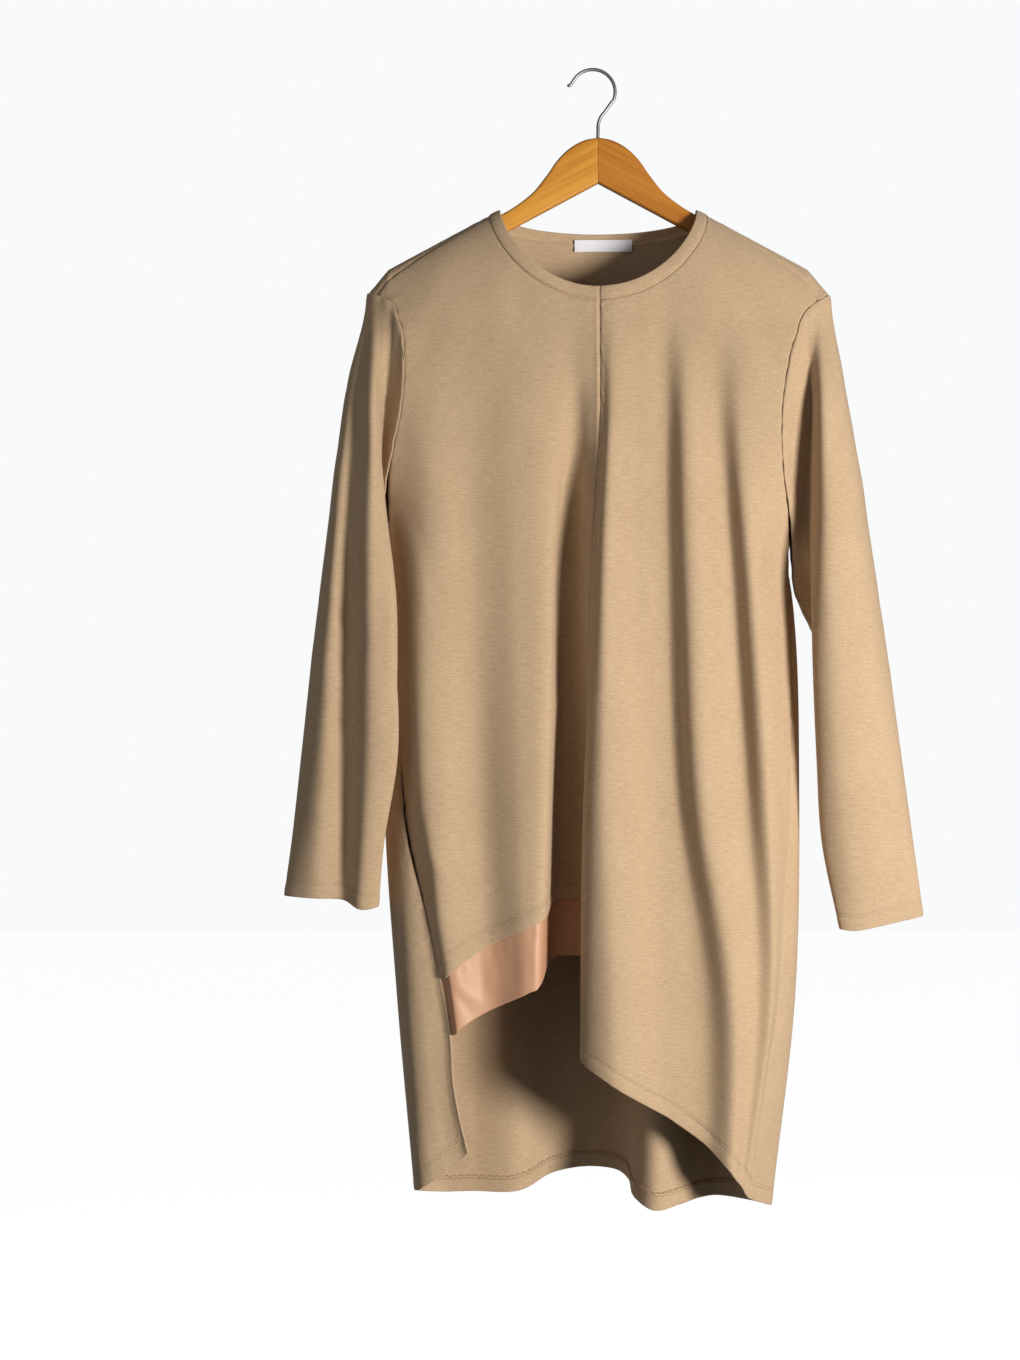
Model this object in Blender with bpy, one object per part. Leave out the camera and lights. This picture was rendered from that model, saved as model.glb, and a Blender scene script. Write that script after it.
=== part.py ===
"""Long-sleeved jersey tunic with a stepped front hem, hanging on a wooden hanger.

Every table is in millimetres and the meshes are in metres. x runs to the viewer's
right, y away from the viewer and z up. The origin is the inside of the hook's crown,
from which the hanger hangs. The cloth is worked out from lines that run down it, one
for each crest and trough of its folds, joined across by a smooth curve at each height.
"""

import math
from collections import namedtuple

import bmesh
import bpy
import numpy as np

MM = 0.001

# Cloth, seams and trims
CLOTH = 1.6
SATIN = 1.0
BAND_CLOTH = 2.0
BAND_PROUD = 0.4
SEAM_GAP = 0.3
SATIN_GAP = 0.5
LABEL_SIZE = (55.0, 11.0, 1.0)
LABEL_AT = (6.0, 5.2)

# Shoulder line, from the neck point down to the shoulder point
NECK_HALF_WIDTH = 94.0
PANEL_NECK_X = 103.5
NECK_POINT_Z = -131.9
SHOULDER_SLOPE = 0.535
HANGER_TIP_X = 199.0
SLEEVE_HEAD_SLOPE = 1.2
ROUND_OVER = 84.0

# Depth of the neckline under the neck point, front and back
FRONT_NECK_DROP = 78.0
FRONT_NECK_POWER = 0.62
BACK_NECK_DROP = 18.2
BACK_NECK_POWER = 0.45

# How far the shoulder seam comes in front of the shoulder line: along the shoulder, and
# more close to the shoulder point
SeamDrop = namedtuple("SeamDrop", "shoulder point")
SEAM_DROP = {"left": SeamDrop(7.0, 6.5), "right": SeamDrop(9.0, 12.0)}

UNDERARM_Z = -478.0
SIDE_BLEND = 60.0

# Side edges of the body: armhole down to the underarm, then the side seam. Depth is
# towards the viewer in front, and the same amount away from the viewer behind as far
# as the underarm.
Edge = namedtuple("Edge", "z x depth")
LEFT_EDGE = (
    Edge(-1020.5, -124.0, 28.0),
    Edge(-990.0, -131.5, 32.0),
    Edge(-957.0, -137.5, 36.0),
    Edge(-910.5, -140.5, 38.0),
    Edge(-857.0, -149.5, 37.0),
    Edge(-787.0, -165.0, 31.0),
    Edge(-717.0, -180.5, 20.0),
    Edge(-632.0, -188.5, 12.0),
    Edge(-540.0, -194.5, 6.0),
    Edge(-478.0, -197.5, 3.0),
    Edge(-436.0, -199.0, 13.0),
    Edge(-380.0, -197.0, 27.0),
    Edge(-315.5, -185.0, 34.0),
    Edge(-277.6, -183.0, 32.0),
    Edge(-238.9, -189.0, 27.0),
    Edge(-216.0, -205.0, 21.0),
    Edge(-210.5, -219.5, 18.0),
)
RIGHT_EDGE = (
    Edge(-1061.0, 140.0, 38.0),
    Edge(-1020.0, 147.0, 37.5),
    Edge(-957.0, 155.5, 36.5),
    Edge(-877.0, 168.0, 33.0),
    Edge(-784.0, 174.5, 27.0),
    Edge(-709.0, 180.0, 21.0),
    Edge(-597.0, 183.0, 12.0),
    Edge(-540.0, 182.5, 7.0),
    Edge(-478.0, 181.5, 3.0),
    Edge(-427.0, 179.0, 20.0),
    Edge(-381.0, 173.0, 32.0),
    Edge(-343.8, 171.0, 36.0),
    Edge(-296.6, 175.0, 33.0),
    Edge(-258.3, 184.0, 28.0),
    Edge(-222.0, 204.5, 21.0),
    Edge(-212.5, 220.0, 18.0),
)

# Folds of the body, each as (x, y) at six levels, with the height of its hem
LEVELS = (-1060.0, -876.0, -690.0, -503.0, -335.0, -240.0)
Fold = namedtuple("Fold", "name hem thigh hip waist chest yoke hem_z")
FRONT_LEFT_FOLDS = (
    Fold("side roll", (-118, -48), (-137, -47), (-163, -46), (-166, -42), (-160, -37), (-152, -30), -851),
    Fold("soft hollow", (-92, -40), (-101, -40), (-110, -34), (-114, -34), (-117, -34), (-112, -31), -825),
    Fold("inner roll", (-64, -56), (-68, -54), (-72, -48), (-76, -41), (-79, -38), (-76, -33), -809),
    Fold("brink", (-54, -54), (-55, -52), (-50, -46), (-46, -38), (-50, -37), (-50, -34), -801),
    Fold("valley", (-42, 8), (-40, 6), (-38, 0), (-31, -14), (-25, -31), (-26, -34), -787),
    Fold("valley end", (-20, 8), (-20, 7), (-22, 1), (-17, -20), (-12, -34), (-12, -35), -785),
)
CENTRE_SEAM = Fold("centre seam", (0, -4), (-2, -6), (-5, -17), (-9, -41), (0, -39), (0, -36), -785)
FRONT_RIGHT_FOLDS = (
    Fold("fold edge", (-18, -46), (-18, -45), (-15, -43), (-6, -47), (3.5, -41), (3, -37), -931),
    Fold("centre roll", (12, -67), (9, -66), (1, -62), (4, -56), (10, -47), (12, -38), -952),
    Fold("shelf", (66, -50), (60, -48), (46, -44), (38, -42), (38, -39), (40, -36), -984),
    Fold("hollow", (98, -47), (98, -44), (74, -39), (65, -37), (62, -36), (61, -34), -1010),
    Fold("middle roll", (121, -57), (122, -60), (93, -57), (82, -53), (78, -47), (80, -34), -1034),
    Fold("outer hollow", (131, -46), (147, -45), (138, -40), (126, -39), (112, -38), (110, -33), -1048),
    Fold("outer roll", (135, -44), (160, -46), (156, -50), (144, -49), (131, -45), (136, -32), -1055),
)
BACK_FOLDS = (
    Fold("right wrap", (157, -18), (180, -19), (188, -11), (184.5, 4), (166, 37), (187, 25), -1070),
    Fold("right side", (167, 2), (187, -2), (191, 3), (186, 14), (159, 39), (176, 27), -1076),
    Fold("right turn", (152, 33), (174, 30), (179, 29), (173, 32), (142, 41), (160, 28), -1078),
    Fold("right back roll", (119, 44), (138, 50), (146, 50), (140, 47), (114, 43), (127, 30), -1075),
    Fold("slope", (97, 27), (103, 40), (105, 46), (100, 45), (82, 41), (86, 31), -1074),
    Fold("lobe right", (76, -3), (79, 25), (80, 39), (78, 42), (64, 40), (66, 31), -1074),
    Fold("lobe front", (53, -15), (56, 18), (58, 36), (56, 42), (46, 40), (46, 31), -1077),
    Fold("lobe left", (37, 2), (42, 35), (44, 46), (40, 47), (32, 41), (32, 31), -1069),
    Fold("flank", (33, 50), (32, 60), (32, 57), (26, 51), (20, 43), (20, 31), -1061),
    Fold("deep roll", (19, 92), (17, 77), (15, 65), (10, 55), (5, 44), (6, 31), -1059),
    Fold("deep middle", (-10, 98), (-12, 82), (-14, 69), (-17, 57), (-20, 45), (-20, 31), -1058),
    Fold("deep end", (-44, 84), (-46, 75), (-48, 64), (-51, 52), (-50, 43), (-50, 31), -1062),
    Fold("left hollow", (-76, 54), (-79, 53), (-81, 48), (-84, 43), (-80, 40), (-82, 31), -1073),
    Fold("left back roll", (-121, 53), (-122, 56), (-124, 53), (-124, 48), (-112, 42), (-117, 30), -1073),
    Fold("left turn", (-154, 45), (-164, 42), (-170, 40), (-166, 38), (-145, 41), (-152, 29), -1072),
    Fold("left side", (-175, 8), (-191, 8), (-203, 8), (-199, 15), (-166, 39), (-168, 27), -1063),
    Fold("left wrap", (-164, -20), (-182, -20), (-198, -7), (-198.5, 6), (-180, 37), (-179, 26), -1054),
)
LEFT_HEM_Z = {"front": -856.5, "back": -1020.5}
RIGHT_HEM_Z = {"front": -1061.0, "back": -1061.0}
CENTRE_HEM_Z = {"short": -785.0, "long": -914.0}
SATIN_HEM_Z = (-910.0, -905.0, -885.0, -869.0, -863.0, -842.0, -840.0, -840.0)
SATIN_TUCK = 7.0

# Sleeve folds, each as (x, y) at six levels, with the height of its cuff edge and its
# place round the sleeve head, from 0 at the front of the armhole to 1 at the back
LEFT_SLEEVE_LEVELS = (-800.0, -730.0, -650.0, -540.0, -420.0, -300.0)
RIGHT_SLEEVE_LEVELS = (-810.0, -730.0, -650.0, -540.0, -420.0, -300.0)
Tuck = namedtuple("Tuck", "name cuff wrist forearm elbow arm head cuff_z place")
LEFT_SLEEVE_SEAM = Tuck("seam", (-214, -4), (-217, -8), (-212, -10), (-212, -8), (-206, 0), (-202, 0), -785, 0)
LEFT_SLEEVE_FOLDS = (
    Tuck("inner front", (-211, -12), (-212, -20), (-203, -25), (-206, -21), (-204.5, -17), (-190, -27), -787, 0.08),
    Tuck("crevice", (-209.5, -18), (-206, -28), (-196, -35), (-201.5, -31), (-208, -22), (-200, -18), -789, 0.17),
    Tuck("inner edge", (-210, -26), (-203, -36), (-190, -45), (-193, -46), (-203, -35), (-208, -30), -790, 0.25),
    Tuck("front roll", (-224, -31), (-219, -42), (-214, -51), (-213, -55), (-213, -49), (-212, -38), -792, 0.34),
    Tuck("hollow", (-241, -17), (-239, -23), (-238, -29), (-236, -32), (-233, -32), (-224, -28), -784, 0.41),
    Tuck("outer front", (-270, -19), (-264, -23), (-258, -27), (-252, -28), (-243, -22), (-231, -15), -782, 0.46),
    Tuck("over arm", (-296, -6), (-286, -5), (-276, -3), (-264, 0), (-249, 2), (-235, 0), -781, 0.52),
    Tuck("outer back", (-264, 8), (-258, 14), (-250, 19), (-243, 24), (-236, 28), (-228, 22), -781, 0.61),
    Tuck("back roll", (-236, 8), (-234, 13), (-230, 18), (-226, 24), (-220, 34), (-212, 33), -783, 0.75),
    Tuck("inner back", (-219, 2), (-222, 3), (-217, 4), (-215, 8), (-204, 24), (-195, 32), -784, 0.91),
)
RIGHT_SLEEVE_SEAM = Tuck("seam", (230, -4), (218, -1), (213, 0), (209, 1), (192, 0), (188, 0), -802, 0)
RIGHT_SLEEVE_FOLDS = (
    Tuck("inner front", (229, -12), (217, -9), (214, -10), (211, -7), (190, -12), (182, -28), -807, 0.08),
    Tuck("crevice", (228, -18), (214, -17), (210, -20), (208, -20), (200, -10), (204, -16), -810, 0.17),
    Tuck("inner edge", (228, -25), (211, -27), (205, -35), (201, -40), (203, -30), (208, -25), -811, 0.25),
    Tuck("front roll", (246, -29), (237, -38), (231, -46), (225, -52), (220, -50), (213, -38), -812, 0.34),
    Tuck("outer front", (281, -20), (272, -28), (264, -34), (252, -40), (239, -36), (227, -24), -805, 0.46),
    Tuck("over arm", (308, -6), (297, -4), (286, -3), (272, -1), (255, 0), (239, 0), -800, 0.52),
    Tuck("outer back", (282, 9), (274, 20), (266, 26), (254, 32), (241, 33), (230, 23), -799, 0.61),
    Tuck("back roll", (252, 12), (245, 22), (238, 30), (229, 38), (218, 41), (212, 34), -799, 0.75),
    Tuck("inner back", (237, 4), (224, 9), (218, 14), (212, 18), (198, 26), (192, 32), -801, 0.91),
)
SLEEVE_SEAM_HALF = 3.0
ARMHOLE_GAP = 0.3
UNDERARM_GAP = 3.4

# Columns of the grids, as x along the shoulder seam from the armhole to the neck, then
# along the neckline. The first FAN of these stand close together at the neck point and
# fan out below it.
LEFT_SHOULDER_X = (206.0, 199.0, 189.0, 175.0, 158.0, 140.0, 122.0, 109.0)
RIGHT_SHOULDER_X = (207.0, 199.0, 189.0, 175.0, 158.0, 140.0, 122.0, 109.0)
LEFT_NECK_X = (103.5, 103.48, 103.25, 102.3, 99.5, 92.5, 81.0, 70.0, 61.0, 54.0, 48.0, 42.5, 37.0)
LEFT_NECK_X += (31.0, 25.0, 18.5, 12.0, 6.0, 0.0)
RIGHT_NECK_X = (0.0, 1.5, 3.0, 5.5, 9.0, 13.0, 20.0, 29.0, 38.0, 47.0, 57.0, 68.0, 80.0, 92.5)
RIGHT_NECK_X += (99.5, 102.3, 103.25, 103.48, 103.5)
BACK_NECK_X = (103.5, 103.48, 102.9, 99.5, 91.0, 80.0, 69.0, 58.0, 48.0, 39.0, 29.0, 19.0, 10.0)
FAN = 6
EDGE_CROWD = {"front": 1.0, "back": 0.62}
SEAM_ROWS = 9
WRAP_ROWS = 4
SIDE_ROWS = 8
TAIL_ROWS = 4
SLEEVE_HEAD_NODES = 4
SLEEVE_HALVES = 2
SLEEVE_ARM_ROWS = 9
GUIDE = 0.2
GUIDE_ROOT = 0.8
FAN_ROOT = 6.0

# Hanger
WOOD_THICKNESS = 12.0
WOOD_EDGE = 3.0
WOOD_UNDER_CLOTH = 5.4
WOOD_APEX_Z = -63.2
WOOD_CROTCH_Z = -106.0
WOOD_HUMP = ((12.0, -65.3), (25.0, -71.8), (37.0, -82.5), (48.5, -98.5), (62.0, -115.2), (77.0, -127.2))
WIRE_RADIUS = 1.6
WIRE_SIDES = 8
WIRE_STEPS = 36
SHANK_HOLE_RADIUS = 2.1
SHANK_DEPTH = 20.0
HOOK_RADIUS = 21.2
HOOK_CENTRE = (-5.0, -19.0)


def run_through(stations, values, at):
    """A smooth curve through values at rising stations, straight below them and level above."""
    s = np.asarray(stations, float)
    v = np.asarray(values, float)
    at = np.asarray(at, float)
    slope = np.gradient(v, s, axis=0)
    i = np.clip(np.searchsorted(s, at) - 1, 0, len(s) - 2)
    span = s[i + 1] - s[i]
    f = np.clip((at - s[i]) / span, 0.0, 1.0)
    tail = (v.ndim - 1) * (None,)
    f_, span_ = f[(..., *tail)], span[(..., *tail)]
    inside = (
        v[i] * (1 + 2 * f_) * (1 - f_) ** 2
        + v[i + 1] * f_**2 * (3 - 2 * f_)
        + slope[i] * span_ * f_ * (1 - f_) ** 2
        - slope[i + 1] * span_ * f_**2 * (1 - f_)
    )
    return inside + np.minimum(at - s[0], 0.0)[(..., *tail)] * slope[0]


def smooth_step(f):
    f = np.clip(f, 0.0, 1.0)
    return f * f * (3 - 2 * f)


def shoulder_z(x):
    """Height of the shoulder line, which is carried on over the neck."""
    x = np.abs(x)
    straight = NECK_POINT_Z - SHOULDER_SLOPE * (x - NECK_HALF_WIDTH)
    past_tip = np.maximum(x - HANGER_TIP_X, 0.0)
    return straight - (SLEEVE_HEAD_SLOPE - SHOULDER_SLOPE) * past_tip


def round_over(drop):
    """Share of the full depth reached at this drop under the shoulder line."""
    rest = 1.0 - np.clip(np.abs(drop) / ROUND_OVER, 0.0, 1.0)
    return np.sqrt(1.0 - rest**2)


def seam_drop(x):
    """Drop of the shoulder seam in front of the shoulder line."""
    x = np.asarray(x, float)
    share = np.clip((np.abs(x) - NECK_HALF_WIDTH) / (210.0 - NECK_HALF_WIDTH), 0.0, 1.0)
    left, right = SEAM_DROP["left"], SEAM_DROP["right"]
    return np.where(
        x < 0,
        left.shoulder * share + left.point * share**4,
        right.shoulder * share + right.point * share**4,
    )


def front_neck_z(x, wider=0.0):
    """Front neckline, moved out from the neck by wider."""
    half = NECK_HALF_WIDTH + wider
    low = FRONT_NECK_DROP + 0.55 * wider
    share = np.maximum(1.0 - (np.abs(x) / half) ** 2, 0.0)
    return shoulder_z(half) - low * share**FRONT_NECK_POWER


def back_neck_z(x, wider=0.0):
    """Back neckline, moved out from the neck by wider."""
    half = NECK_HALF_WIDTH + wider
    share = np.maximum(1.0 - (np.abs(x) / half) ** 2, 0.0)
    return shoulder_z(half) - (BACK_NECK_DROP + 0.5 * wider) * share**BACK_NECK_POWER


def fold_points(folds, levels, z):
    """(x, y) of each fold line at each height, as an array of folds by heights by 2."""
    table = np.array([[fold[k] for fold in folds] for k in range(1, 7)], float)
    return run_through(levels, table, z).swapaxes(0, 1)


def edge_points(edge, z, back):
    """(x, y) of a side edge, which is as far behind as in front over the underarm."""
    z = np.asarray(z, float)
    xy = run_through([e.z for e in edge], [(e.x, -e.depth) for e in edge], z)
    if back:
        xy[z > UNDERARM_Z, 1] *= -1.0
    return xy


def across(points, t):
    """The point t lines in along the curve that joins the lines, with a guide at each end."""
    i = np.clip(np.floor(t).astype(int), 0, len(points) - 4)
    f = (t - i)[:, None]
    n = np.arange(len(t))
    p0, p1, p2, p3 = (points[i + k, n] for k in range(4))
    pairs = ((p0, p1), (p1, p2), (p2, p3))
    d0, d1, d2 = (np.sqrt(np.linalg.norm(b - a, axis=1) + 1e-3)[:, None] for a, b in pairs)
    m1 = d1 * ((p1 - p0) / d0 - (p2 - p0) / (d0 + d1) + (p2 - p1) / d1)
    m2 = d1 * ((p2 - p1) / d1 - (p3 - p1) / (d1 + d2) + (p3 - p2) / d2)
    return (
        p1 * (1 + 2 * f) * (1 - f) ** 2
        + p2 * f**2 * (3 - 2 * f)
        + m1 * f * (1 - f) ** 2
        - m2 * f**2 * (1 - f)
    )


FRONT_LINES = len(FRONT_LEFT_FOLDS) + len(FRONT_RIGHT_FOLDS) + 2
BACK_LINES = len(BACK_FOLDS) + 1
CENTRE_LINE = len(FRONT_LEFT_FOLDS) + 1


def body_xy(back, t, z):
    """(x, y) on the front or back, t lines in from its first edge, not yet rounded over."""
    t, z = np.asarray(t, float), np.asarray(z, float)
    front_inner = fold_points((*FRONT_LEFT_FOLDS, CENTRE_SEAM, *FRONT_RIGHT_FOLDS), LEVELS, z)
    back_inner = fold_points(BACK_FOLDS, LEVELS, z)
    own, other = (back_inner, front_inner) if back else (front_inner, back_inner)
    sides = (RIGHT_EDGE, LEFT_EDGE) if back else (LEFT_EDGE, RIGHT_EDGE)
    first, last = (edge_points(side, z, back) for side in sides)
    joined = smooth_step((UNDERARM_Z - z) / SIDE_BLEND)[:, None]
    before = joined * other[-1] + (1 - joined) * (2 * first - own[0])
    after = joined * other[0] + (1 - joined) * (2 * last - own[-1])
    return across(np.concatenate([before[None], first[None], own, last[None], after[None]]), t)


def body_point(back, t, z):
    """Points on the front or back, where the cloth is rounded over the shoulders."""
    xy = body_xy(back, t, z)
    xy[:, 1] *= round_over(np.maximum(shoulder_z(xy[:, 0]) - z, 0.0))
    return np.stack([xy[:, 0], xy[:, 1], z], axis=1)


def line_at(back, x, z):
    """How many lines in from the first edge the body has this x, at heights near its top."""
    x, z = np.atleast_1d(x).astype(float), np.atleast_1d(z).astype(float)
    steps = np.linspace(0.0, BACK_LINES if back else FRONT_LINES, 321)
    all_x = body_xy(back, np.tile(steps, len(z)), np.repeat(z, len(steps)))[:, 0].reshape(len(z), -1)
    sign = -1.0 if back else 1.0
    return np.array([np.interp(sign * want, sign * row, steps) for want, row in zip(x, all_x)])


def surface_at(back, x, z):
    z = np.asarray(z, float)
    return body_point(back, line_at(back, x, z), z)


def height_at_drop(back, t, drop):
    """The height at which each line is this far under the shoulder line."""
    low, high = np.full(len(drop), -1200.0), np.full(len(drop), -60.0)
    for _ in range(34):
        z = (low + high) / 2
        under = shoulder_z(body_xy(back, t, z)[:, 0]) - z > drop
        low, high = np.where(under, z, low), np.where(under, high, z)
    return z


def hem_height(heights, t):
    return run_through(np.arange(len(heights)), heights, t)


def seam_stops(back, side):
    """Columns from the armhole along the shoulder seam: t at the top, t lower down, drop."""
    left = side == "left"
    x = np.array([-v for v in LEFT_SHOULDER_X] if left else RIGHT_SHOULDER_X)
    t = line_at(back, x, shoulder_z(x) - seam_drop(x))
    edge = np.array([0.0 if left != back else float(BACK_LINES if back else FRONT_LINES)])
    at_edge = np.array([10.0])
    for _ in range(10):
        at_edge = seam_drop(body_xy(back, edge, height_at_drop(back, edge, at_edge))[:, 0])
    t = np.concatenate([edge, t])
    return np.array([t, t, np.concatenate([at_edge, seam_drop(x)])])


def neck_stops(back, x):
    """Columns that start on the neckline at these x."""
    x = np.array(x, float)
    z = (back_neck_z if back else front_neck_z)(x, PANEL_NECK_X - NECK_HALF_WIDTH)
    t = line_at(back, x, z)
    return np.array([t, t, np.maximum(shoulder_z(x) - z, 0.0)])


def fan_out(stops, edge, inner, crowd):
    """Shares columns out from the chest down, between the side edge and an inner column."""
    step = 1 if inner > edge else -1
    share = (np.arange(abs(inner - edge) + 1) / abs(inner - edge)) ** crowd
    stops[1, np.arange(edge, inner + step, step)] = stops[1, edge] + (stops[1, inner] - stops[1, edge]) * share


def panel(back, stops, middle, hem_z=None, wraps=0):
    """A grid of points with a column for each stop, from the hem up to the top edge.

    wraps is how many columns at each side go over the shoulder line and down to their drop
    in front. Rows are shared out so that they meet the next panel's rows at every seam: down
    to the underarm, from there to middle, and on to hem_z if there is a tail. One more
    column at each side and one more row on top are there for the normals.
    """
    first, last = stops[:, :1].copy(), stops[:, -1:].copy()
    turn = math.copysign(GUIDE, last[1, 0] - first[1, 0])
    first[:2] -= turn
    last[:2] += turn
    t_top, t_low, drop = np.concatenate([first, stops, last], axis=1)
    count = len(drop)
    root = np.sqrt(drop)
    under = np.sqrt(shoulder_z(body_xy(back, t_low, np.full(count, UNDERARM_Z))[:, 0]) - UNDERARM_Z)
    if wraps:
        side = np.minimum(np.arange(count), np.arange(count)[::-1]) <= wraps
        lip = np.linspace(root[0], root[-1], count)
        top, start = np.where(side, -root, root), np.where(side, lip, root + lip)
        over = np.linspace(top, start, WRAP_ROWS + 1)[:-1]
        roots = np.concatenate([over, np.linspace(start, under, SEAM_ROWS + 1)])
    else:
        roots = np.linspace(root, under, SEAM_ROWS + 1)
    roots = np.concatenate([roots[:1] - GUIDE_ROOT, roots])
    t = t_top + (t_low - t_top) * smooth_step((roots - roots[1]) / FAN_ROOT)
    z = height_at_drop(back, t.ravel(), (roots**2).ravel())
    upper = body_point(back, t.ravel(), z)
    beyond = (roots < 0).ravel()
    upper[beyond] = surface_at(not back, upper[beyond, 0], z[beyond])
    z_low = np.linspace(np.full(count, UNDERARM_Z), padded(middle), SIDE_ROWS + 1)[1:]
    if hem_z is not None:
        z_low = np.concatenate([z_low, np.linspace(padded(middle), padded(hem_z), TAIL_ROWS + 1)[1:]])
    lower = body_point(back, np.tile(t_low, len(z_low)), z_low.ravel())
    return np.concatenate([upper.reshape(-1, count, 3), lower.reshape(-1, count, 3)])[::-1]


def padded(values):
    return np.concatenate([values[:1], values, values[-1:]])


def outward(grid, ring_rows):
    """Unit normals of a grid of points; its lowest ring_rows + 1 rows are closed rings."""
    along = np.gradient(grid, axis=1)
    if ring_rows:
        rings = grid[: ring_rows + 1]
        along[: ring_rows + 1] = np.roll(rings, -1, 1) - np.roll(rings, 1, 1)
    normal = np.cross(along, np.gradient(grid, axis=0))
    return normal / np.linalg.norm(normal, axis=2, keepdims=True)


def material(name, colour, roughness, metallic=0.0):
    made = bpy.data.materials.get(name) or bpy.data.materials.new(name)
    made.use_nodes = True
    shader = made.node_tree.nodes["Principled BSDF"]
    shader.inputs["Base Color"].default_value = (*colour, 1.0)
    shader.inputs["Roughness"].default_value = roughness
    shader.inputs["Metallic"].default_value = metallic
    return made


def add_object(name, data, finish):
    made = bpy.data.objects.new(name, data)
    made.data.materials.append(finish)
    bpy.context.scene.collection.objects.link(made)
    return made


Sides = namedtuple("Sides", "bottom top first last", defaults=(0, 0, 0, 0))


def cloth_wall(name, grid, finish, out=0.0, thickness=CLOTH, ring_rows=0, guides=Sides(), gaps=Sides()):
    """A closed wall of cloth between the grid moved out by out and the same grid thickness further in.

    guides are rows and columns of the grid that are only there for the normals. gaps
    draw the edges in from the neighbouring pieces.
    """
    normal = outward(grid, ring_rows)
    kept = np.s_[guides.bottom : grid.shape[0] - guides.top, guides.first : grid.shape[1] - guides.last]
    normal = normal[kept]
    grid = draw_in(grid[kept], normal, gaps)
    faces = (grid + normal * out, grid + normal * (out - thickness))
    rows, columns = grid.shape[:2]
    points = np.concatenate([f.reshape(-1, 3) for f in faces]) * MM

    def at(side, row, col):
        return (side * rows + row) * columns + col % columns

    quads = []

    def cells(row, col):
        quads.append([at(0, row, col), at(0, row, col + 1), at(0, row + 1, col + 1), at(0, row + 1, col)])
        quads.append([at(1, row + 1, col), at(1, row + 1, col + 1), at(1, row, col + 1), at(1, row, col)])

    def rim(row, col):
        quads.append([at(0, row, col), at(0, row, col + 1), at(1, row, col + 1), at(1, row, col)])

    last = columns - 1
    for row in range(rows - 1):
        for col in range(columns if row < ring_rows else last):
            cells(row, col)
        if row >= ring_rows:
            quads.append([at(0, row, 0), at(0, row + 1, 0), at(1, row + 1, 0), at(1, row, 0)])
            quads.append([at(1, row, last), at(1, row + 1, last), at(0, row + 1, last), at(0, row, last)])
    for col in range(last):
        rim(rows - 1, col)
    for col in range(columns if ring_rows else last):
        quads.append([at(1, 0, col), at(1, 0, col + 1), at(0, 0, col + 1), at(0, 0, col)])
    if ring_rows:
        rim(ring_rows, last)
    mesh = bpy.data.meshes.new(name)
    mesh.from_pydata(points.tolist(), [], quads)
    mesh.shade_smooth()
    mesh.set_sharp_from_angle(angle=math.radians(50))
    return add_object(name, mesh, finish)


def draw_in(grid, normal, gaps):
    """Moves the edges of a grid in, square to themselves, to leave the gap at a seam."""
    moved = grid.copy()
    for edge, gap in (
        (np.s_[:, 0], gaps.first),
        (np.s_[:, -1], -gaps.last),
        (np.s_[-1], gaps.top),
        (np.s_[0], -gaps.bottom),
    ):
        tangent = np.gradient(grid[edge], axis=0)
        inward = np.cross(tangent, normal[edge])
        moved[edge] = moved[edge] + inward / np.linalg.norm(inward, axis=-1, keepdims=True) * gap
    return moved


PANEL_GUIDES = Sides(top=1, first=1, last=1)
HALF_GAP = SEAM_GAP / 2
PANEL_GAPS = Sides(top=0.6, first=HALF_GAP, last=HALF_GAP)


def front_panels(jersey, satin):
    """The short front on the viewer's left, its satin band, and the long front on the right."""
    hem = (LEFT_HEM_Z["front"], *(f.hem_z for f in FRONT_LEFT_FOLDS), CENTRE_HEM_Z["short"])
    seam = seam_stops(False, "left")
    stops = np.concatenate([seam, neck_stops(False, [-x for x in LEFT_NECK_X])], axis=1)
    fan_out(stops, 0, seam.shape[1] + FAN - 1, EDGE_CROWD["front"])
    short = panel(False, stops, hem_height(hem, stops[1]))
    cloth_wall("front_short", short, jersey, guides=PANEL_GUIDES, gaps=PANEL_GAPS)

    t = padded(stops[1])
    t[0], t[-1] = t[0] - GUIDE, t[-1] + GUIDE
    z = np.linspace(hem_height(SATIN_HEM_Z, t), hem_height(hem, t) + SATIN_TUCK, 4)
    band = body_point(False, np.tile(t, 4), z.ravel()).reshape(4, len(t), 3)
    inside = dict(out=-(CLOTH + SATIN_GAP), thickness=SATIN)
    guides, gaps = Sides(first=1, last=1), Sides(first=1.0, last=1.0)
    cloth_wall("satin_band", band, satin, guides=guides, gaps=gaps, **inside)

    hem = (CENTRE_HEM_Z["long"], *(f.hem_z for f in FRONT_RIGHT_FOLDS), RIGHT_HEM_Z["front"])
    neck = neck_stops(False, RIGHT_NECK_X)
    stops = np.concatenate([neck, seam_stops(False, "right")[:, ::-1]], axis=1)
    fan_out(stops, stops.shape[1] - 1, neck.shape[1] - FAN, EDGE_CROWD["front"])
    from_centre = (stops[1] - CENTRE_LINE) / (FRONT_LINES - CENTRE_LINE)
    middle = CENTRE_HEM_Z["short"] + (LEFT_HEM_Z["front"] - CENTRE_HEM_Z["short"]) * from_centre
    long = panel(False, stops, middle, hem_height(hem, stops[1] - CENTRE_LINE))
    cloth_wall("front_long", long, jersey, guides=PANEL_GUIDES, gaps=PANEL_GAPS)
    return {"left": short[:, 1], "right": long[:, -2]}


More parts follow.
